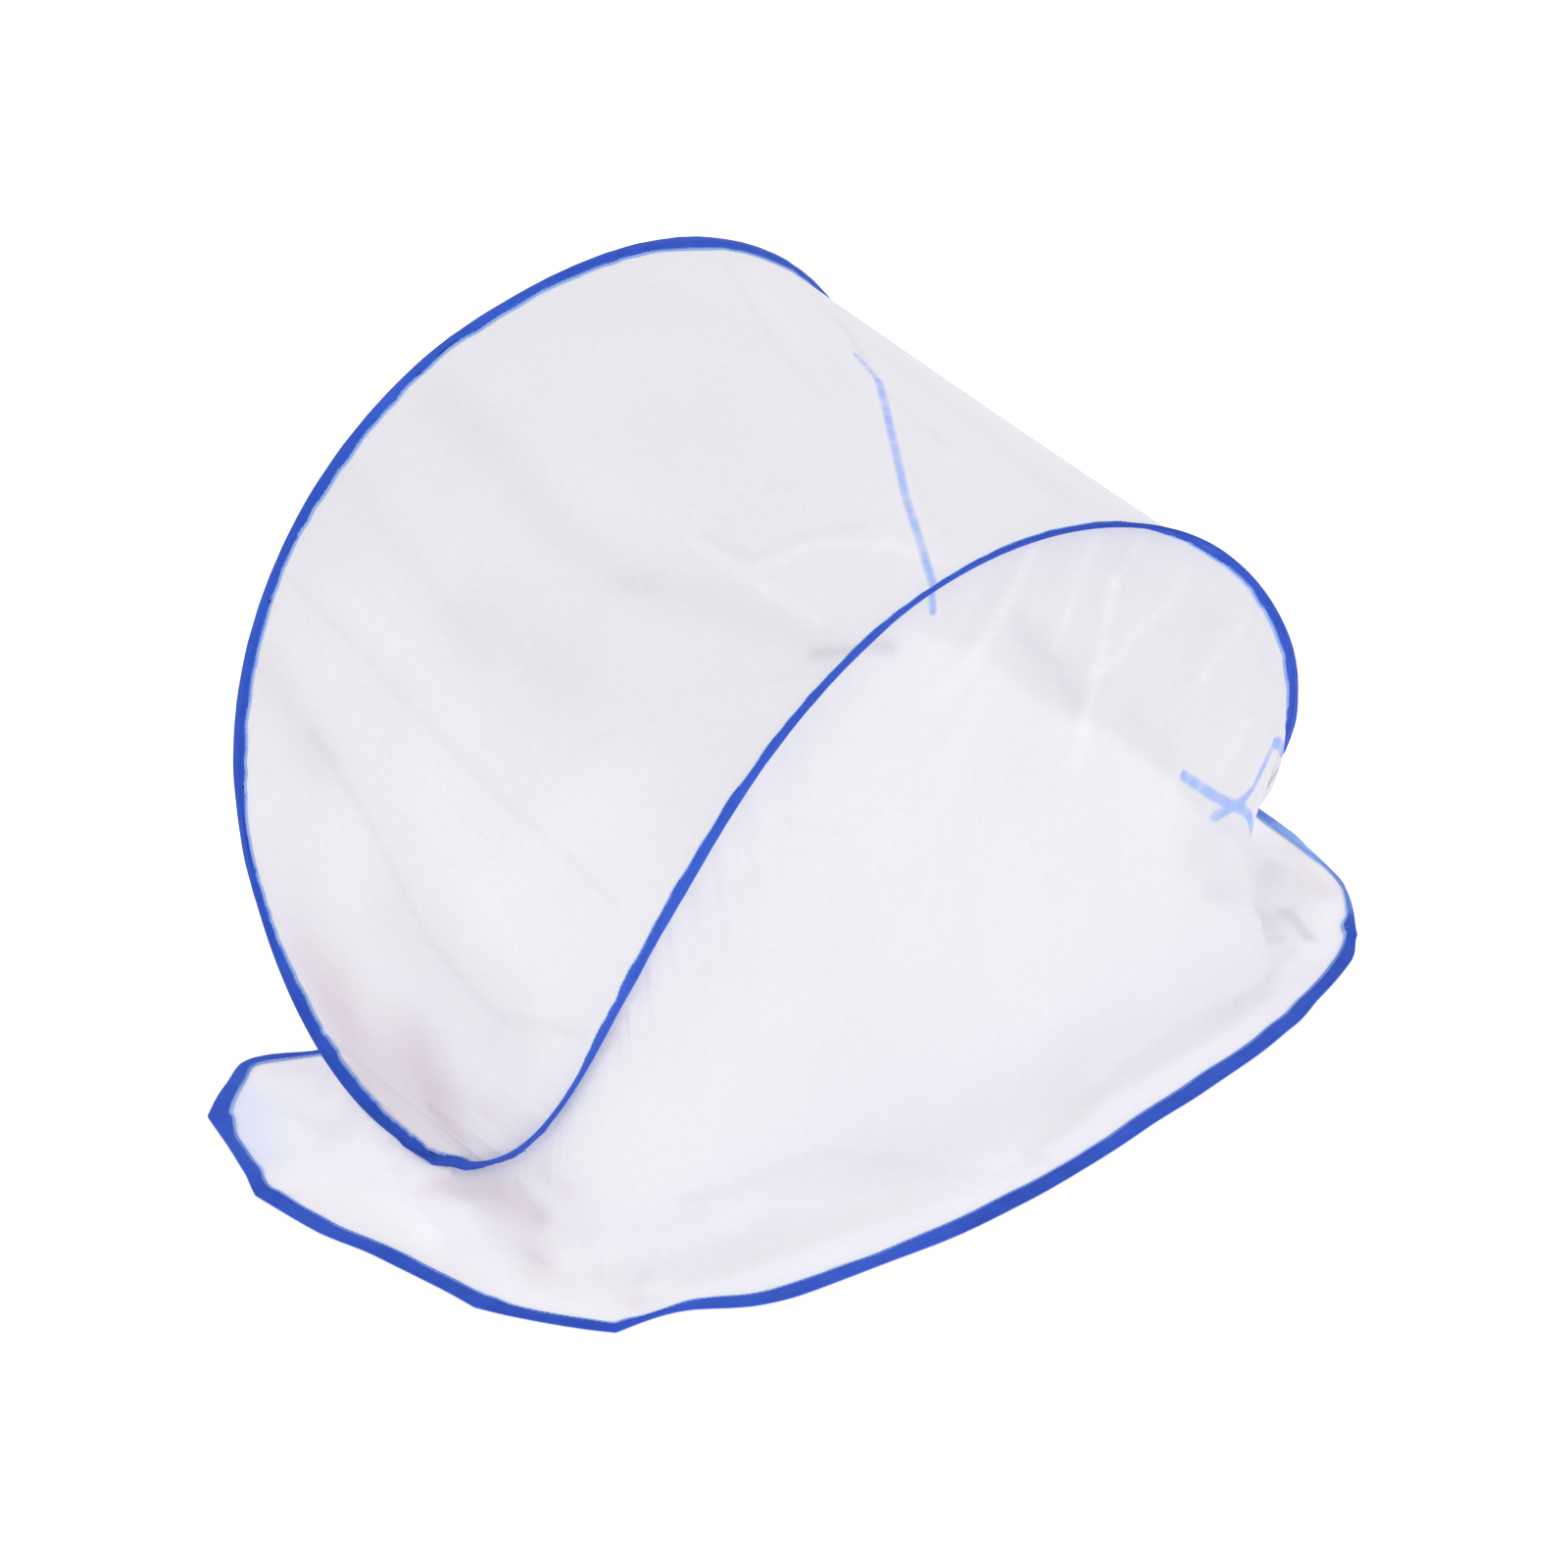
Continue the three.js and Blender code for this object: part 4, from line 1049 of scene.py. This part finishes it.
# Above the veil's edge the front panel gets painted shade, for the dim inside seen through it.
inside_veil = (np.interp(at, *VEIL_EDGE.T)[:, None] * down[:, -1:] - down) / VEIL_SOFT
veil_fade = np.interp(at, VEIL_FADE, (1, 0))[:, None]
front_marks["shade"] += VEIL_SHADE * veil_fade * ease(np.clip(inside_veil + 0.5, 0, 1))
front_cloth = grid_piece("front_cloth", front, front_marks, flipped=True)

back = panel_places(STATIONS / 2, 1)
back_fade = held_fade(back, FIRST_FREE, back.shape[1] - 3, HELD_WIDTH)
back = add_folds(back, BACK_FOLDS, back_fade, -1)
at = np.linspace(STATIONS / 2, STATIONS, len(back))
back_marks = cloth_values(back, at, BACK_SHADES, BACK_ROSE, BACK_CHILLS)
back_cloth = grid_piece("back_cloth", back, back_marks, flipped=True)

# %% [markdown]
# Materials are drawn with nodes, so that they hold up from any distance. The net needs
# its weave first: two families of threads that cross, with a hole in each mesh. The
# weave is used by the net and by the tapes at another size, so it is a node group that
# is built once. It gives 1 on a thread and 0 in the middle of a hole.

# %% Helpers for nodes
def add_node(tree, kind, inputs=None, **settings):
    """A node with its settings, and with its inputs set or linked."""
    node = tree.nodes.new(kind)
    for key, value in settings.items():
        setattr(node, key, value)
    for key, value in (inputs or {}).items():
        socket = node.inputs[key]
        if isinstance(value, bpy.types.NodeSocket):
            tree.links.new(value, socket)
        else:
            socket.default_value = value
    return node


def math_node(tree, operation, first, second=0.0, clamp=False):
    """One step of arithmetic, returned as its output socket."""
    node = add_node(tree, "ShaderNodeMath", {0: first, 1: second}, operation=operation)
    node.use_clamp = clamp
    return node.outputs[0]


def new_group(name, inputs, outputs):
    """An empty node group with its sockets, as (group, inside input, inside output)."""
    group = bpy.data.node_groups.new(name, "ShaderNodeTree")
    for key, kind in inputs:
        group.interface.new_socket(key, in_out="INPUT", socket_type=kind)
    for key, kind in outputs:
        group.interface.new_socket(key, in_out="OUTPUT", socket_type=kind)
    return group, group.nodes.new("NodeGroupInput"), group.nodes.new("NodeGroupOutput")


def value_of(tree, name):
    """A value that was stored on the mesh."""
    return add_node(tree, "ShaderNodeAttribute", attribute_name=name).outputs["Fac"]


def times(tree, value, amount, clamp=False):
    return math_node(tree, "MULTIPLY", value, amount, clamp)


def plus(tree, value, amount, clamp=False):
    return math_node(tree, "ADD", value, amount, clamp)


def noise(tree, place, scale, detail):
    """Soft noise from 0 to 1 over a piece."""
    inputs = {"Vector": place, "Scale": scale, "Detail": detail}
    return add_node(tree, "ShaderNodeTexNoise", inputs).outputs["Fac"]


def centred(tree, value, amount):
    """The same noise round zero, and so strong."""
    return times(tree, math_node(tree, "SUBTRACT", value, 0.5), amount)


def mixed_colour(tree, share, first, second):
    node = add_node(tree, "ShaderNodeMix", data_type="RGBA")
    for socket, value in ((node.inputs[0], share), (node.inputs[6], first), (node.inputs[7], second)):
        if isinstance(value, bpy.types.NodeSocket):
            tree.links.new(value, socket)
        else:
            socket.default_value = value
    return node.outputs[2]


def new_material(name):
    """A material with its node tree, its shader and the places on a piece."""
    material = bpy.data.materials.new(name)
    material.use_nodes = True
    tree = material.node_tree
    place = add_node(tree, "ShaderNodeTexCoord").outputs["Object"]
    return material, tree, tree.nodes["Principled BSDF"], place


def finish_surface(tree, shader, colour, rough, height, strength):
    """Links what every material here has: colour, roughness and bump."""
    bump = add_node(tree, "ShaderNodeBump", {"Height": height, "Distance": 1.0, "Strength": strength})
    tree.links.new(colour, shader.inputs["Base Color"])
    tree.links.new(rough, shader.inputs["Roughness"])
    tree.links.new(bump.outputs["Normal"], shader.inputs["Normal"])


# %% The weave group
def build_weave():
    group, given, result = new_group(
        "crossing_threads",
        [("Lengths", "NodeSocketVector"), ("Pitch", "NodeSocketFloat")],
        [("Thread", "NodeSocketFloat")],
    )
    split = add_node(group, "ShaderNodeSeparateXYZ", {0: given.outputs["Lengths"]})
    turns = []
    for axis in ("X", "Y"):
        along = math_node(group, "DIVIDE", split.outputs[axis], given.outputs["Pitch"])
        turns.append(math_node(group, "MULTIPLY", along, math.pi))
    holes = []
    for turn in turns:
        wave = math_node(group, "SINE", turn)
        holes.append(math_node(group, "MULTIPLY", wave, wave))
    hole = math_node(group, "MULTIPLY", holes[0], holes[1])
    group.links.new(math_node(group, "SUBTRACT", 1.0, hole), result.inputs["Thread"])
    return group


crossing_threads = build_weave()


def woven(tree, pitch):
    """The weave at a pitch: its value on the threads, and the same for the holes."""
    lengths = add_node(tree, "ShaderNodeUVMap", uv_map="cloth_lengths").outputs["UV"]
    weave = add_node(tree, "ShaderNodeGroup", node_tree=crossing_threads)
    tree.links.new(lengths, weave.inputs["Lengths"])
    weave.inputs["Pitch"].default_value = pitch
    thread = weave.outputs["Thread"]
    return thread, math_node(tree, "SUBTRACT", 1.0, thread)


# %% [markdown]
# Fine net of white polyester looks almost solid in soft light: each thread is bright,
# the holes are smaller than the eye can part, and light also passes through from the
# other side. So the cloth is a rough white surface, mixed with a share of translucence.
# Only the sheer strips are a little open, and what is seen of them is mostly pale blue.

# %% The net's material
NET_PITCH = 0.0013
NET_WHITE = (0.918, 0.911, 0.944, 1)
# The grey that painted shade mixes into the net's colour.
NET_GREY = (0.62, 0.615, 0.66, 1)
NET_ROSE = (0.64, 0.47, 0.55, 1)
NET_CHILL = (0.62, 0.7, 0.95, 1)
NET_CLEAR = (0.16, 0.38, 1.0, 1)
BASE_SHADE = 0.2
CLOUDS = 0.35  # how strong the large, soft changes of grey are
GRAIN = 0.2  # and the small ones
TINT = 0.6  # how strong a full rose tint or chill is
SHEER_OPEN = 0.11
SHEER_HOLES = 0.2  # the holes of the weave are so much more open
SHEER_EDGE = 2  # how soft the edge of a sheer strip is
PATCH_LEAST = 0.2  # a strip is uneven: noise times a strength on top of the least
PATCH_MORE = 1.3
TRANSLUCENCE = 0.28
CREASE_HEIGHT = 0.0022
THREAD_HEIGHT = 0.00008


def net_material(name):
    material, tree, shader, place = new_material(name)
    thread, hole = woven(tree, NET_PITCH)
    # The stored shade paints shade into the net's colour above zero and highlights below it. The
    # noise on it is random tone, and the base share of grey leaves room for painted highlights.
    shade = plus(tree, value_of(tree, "shade"), centred(tree, noise(tree, place, 9.0, 2.0), CLOUDS))
    shade = plus(tree, shade, centred(tree, noise(tree, place, 260.0, 2.0), GRAIN))
    shade = plus(tree, shade, BASE_SHADE, clamp=True)
    colour = mixed_colour(tree, shade, NET_WHITE, NET_GREY)
    for key, tint in (("rose_tint", NET_ROSE), ("chill", NET_CHILL)):
        share = times(tree, value_of(tree, key), TINT, clamp=True)
        colour = mixed_colour(tree, share, colour, tint)
    strip = math_node(tree, "SUBTRACT", value_of(tree, "sheer"), 1 - SHEER_EDGE / SHEER_FADE)
    strip = times(tree, strip, SHEER_FADE / SHEER_EDGE, clamp=True)
    patchy = times(tree, noise(tree, place, 90.0, 1.0), PATCH_MORE)
    strip = times(tree, strip, plus(tree, patchy, PATCH_LEAST, clamp=True))
    colour = mixed_colour(tree, strip, colour, NET_CLEAR)
    clear = times(tree, strip, plus(tree, times(tree, hole, SHEER_HOLES), SHEER_OPEN), clamp=True)
    tree.links.new(math_node(tree, "SUBTRACT", 1.0, clear), shader.inputs["Alpha"])
    rough = plus(tree, times(tree, hole, 0.15), 0.78)
    creases = times(tree, noise(tree, place, 28.0, 2.0), CREASE_HEIGHT)
    height = plus(tree, creases, times(tree, thread, THREAD_HEIGHT))
    finish_surface(tree, shader, colour, rough, height, strength=0.6)
    shader.inputs["Specular IOR Level"].default_value = 0.2
    through = add_node(tree, "ShaderNodeBsdfTranslucent", {"Color": NET_WHITE})
    layers = {0: TRANSLUCENCE, 1: shader.outputs[0], 2: through.outputs[0]}
    both = add_node(tree, "ShaderNodeMixShader", layers)
    tree.links.new(both.outputs[0], tree.nodes["Material Output"].inputs["Surface"])
    return material


net_white = net_material("net_white")

# %% [markdown]
# The tape is a close-woven blue ribbon. It has fine cross ribs and a painted highlight along
# its sewn edges. Its colour is deeper in some stretches, as painted shade where the ribbon
# turns from the light, and in random patches where it has been handled.

# %% The tape's material
RIB_PITCH = 0.0007
TAPE_BRIGHT = (0.043, 0.122, 0.66, 1)
TAPE_DEEP = (0.02, 0.07, 0.47, 1)
# The pale blue of the painted highlight along the sewn edges.
TAPE_PALE = (0.33, 0.52, 0.98, 1)
BLOTCHES = 0.9  # how strong the uneven dye is
PALE_SHARE = 0.95
RIB_HEIGHT = 0.0001
BLOTCH_HEIGHT = 0.0006


def tape_material(name):
    material, tree, shader, place = new_material(name)
    thread, hole = woven(tree, RIB_PITCH)
    blotch = noise(tree, place, 70.0, 3.0)
    # Depth of blue from the mesh: painted shade along stretches of the hoop, and random wear on both
    # tapes.
    deep = plus(tree, value_of(tree, "shade_and_wear"), centred(tree, blotch, BLOTCHES))
    # The gaps between the ribs are painted a deeper blue, as painted shade.
    deep = plus(tree, deep, times(tree, hole, 0.2), clamp=True)
    colour = mixed_colour(tree, deep, TAPE_BRIGHT, TAPE_DEEP)
    # Painted highlight along the sewn edges, and the hem's paler stretch.
    pale = times(tree, value_of(tree, "edge_highlight_and_paling"), PALE_SHARE, clamp=True)
    colour = mixed_colour(tree, pale, colour, TAPE_PALE)
    rough = plus(tree, times(tree, hole, 0.2), 0.62)
    height = plus(tree, times(tree, thread, RIB_HEIGHT), times(tree, blotch, BLOTCH_HEIGHT))
    finish_surface(tree, shader, colour, rough, height, strength=0.7)
    shader.inputs["Specular IOR Level"].default_value = 0.15
    return material


tape_blue = tape_material("tape_blue")

# %% Thread and steel
FIBRE_HEIGHT = 0.0002
FIBRE_SHADE = 0.7  # the dark side of a fibre


def thread_material(name, colour, twist):
    material, tree, shader, place = new_material(name)
    fibre = noise(tree, place, twist, 2.0)
    darker = tuple(part * FIBRE_SHADE for part in colour) + (1,)
    tone = mixed_colour(tree, fibre, (*colour, 1), darker)
    rough = plus(tree, times(tree, fibre, 0.3), 0.45)
    finish_surface(tree, shader, tone, rough, times(tree, fibre, FIBRE_HEIGHT), strength=0.5)
    return material


blue_thread = thread_material("blue_thread", (0.06, 0.14, 0.7), 2500.0)
steel = thread_material("spring_steel", (0.55, 0.56, 0.58), 600.0)
steel.node_tree.nodes["Principled BSDF"].inputs["Metallic"].default_value = 1.0

# %% Put the materials on
for material, pieces in (
    (net_white, (roof_cloth, front_cloth, back_cloth)),
    (tape_blue, (hoop_tape, hem_tape)),
    (blue_thread, (hoop_stitches, hem_stitches)),
):
    for piece in pieces:
        piece.data.materials.append(material)
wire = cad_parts["wire_hoop"]
wire.data.materials.clear()
wire.data.materials.append(steel)

# %% [markdown]
# The portrait was taken on a white sweep, under light so even that the net throws no
# shadow to speak of. One large soft box above and a weak one in front are enough to
# part the front panel from the roof. The floor glows a little of its own accord, which
# is how a lit white sweep behaves.

# %% Floor and light
FLOOR_SIZE = 20
FLOOR_TONE = (0.9, 0.9, 0.9, 1)
FLOOR_GLOW = 0.5
AIR_LIGHT = 0.83
WHITE = (1, 1, 1, 1)
LIGHTS = (  # name, place and aim in metres, size across, watts
    ("overhead_box", (0.0, 0.0, 3.0), (0, 0, 0), 2.4, 13),
    ("front_box", (0.4, -2.6, 0.9), (0, 0, 0.15), 1.6, 1),
)

floor_bm = bmesh.new()
bmesh.ops.create_grid(floor_bm, x_segments=1, y_segments=1, size=FLOOR_SIZE)
floor = finished("studio_floor", floor_bm)
floor_white = bpy.data.materials.new("floor_white")
floor_white.use_nodes = True
floor_shader = floor_white.node_tree.nodes["Principled BSDF"]
floor_shader.inputs["Base Color"].default_value = FLOOR_TONE
floor_shader.inputs["Roughness"].default_value = 0.9
floor_shader.inputs["Emission Color"].default_value = WHITE
floor_shader.inputs["Emission Strength"].default_value = FLOOR_GLOW
floor.data.materials.append(floor_white)

world = bpy.data.worlds.new("studio_air")
world.use_nodes = True
world.node_tree.nodes["Background"].inputs["Color"].default_value = WHITE
world.node_tree.nodes["Background"].inputs["Strength"].default_value = AIR_LIGHT
bpy.context.scene.world = world
bpy.context.scene.view_settings.view_transform = "Standard"


def soft_light(name, place, aim, size, watts):
    light = bpy.data.lights.new(name, "AREA")
    light.shape = "DISK"
    light.size = size
    light.energy = watts
    lamp = bpy.data.objects.new(name, light)
    lamp.location = place
    heading = Vector(aim) - Vector(place)
    lamp.rotation_euler = heading.to_track_quat("-Z", "Y").to_euler()
    bpy.context.scene.collection.objects.link(lamp)


for light in LIGHTS:
    soft_light(*light)
print("lights:", [light[0] for light in LIGHTS])

# %% [markdown]
# Last, each new net and tape hides the imported part that it stands for, every new piece
# rides on the root, and the area of each net is printed. The roof is cut as a lens and each
# panel as a wide D with a curved flare for the skirt, so the flat area is less than width
# times length.

# %% Ride and replace
for piece, node, slot in (
    (roof_cloth, "roof_net", "net_cloth"),
    (front_cloth, "front_panel", "net_cloth"),
    (back_cloth, "back_panel", "net_cloth"),
    (hoop_tape, "hoop_binding", "binding_tape"),
    (hem_tape, "rim_binding", "binding_tape"),
):
    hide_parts(node)
    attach(piece, "root")
for piece, slot in (
    (hoop_stitches, "binding_tape"),
    (hem_stitches, "binding_tape"),
):
    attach(piece, "root")


# %% Cloth facts
def cloth_area(piece):
    return sum(face.area for face in piece.data.polygons)


for piece in (roof_cloth, front_cloth, back_cloth):
    print(piece.name, "area", round(cloth_area(piece), 4))
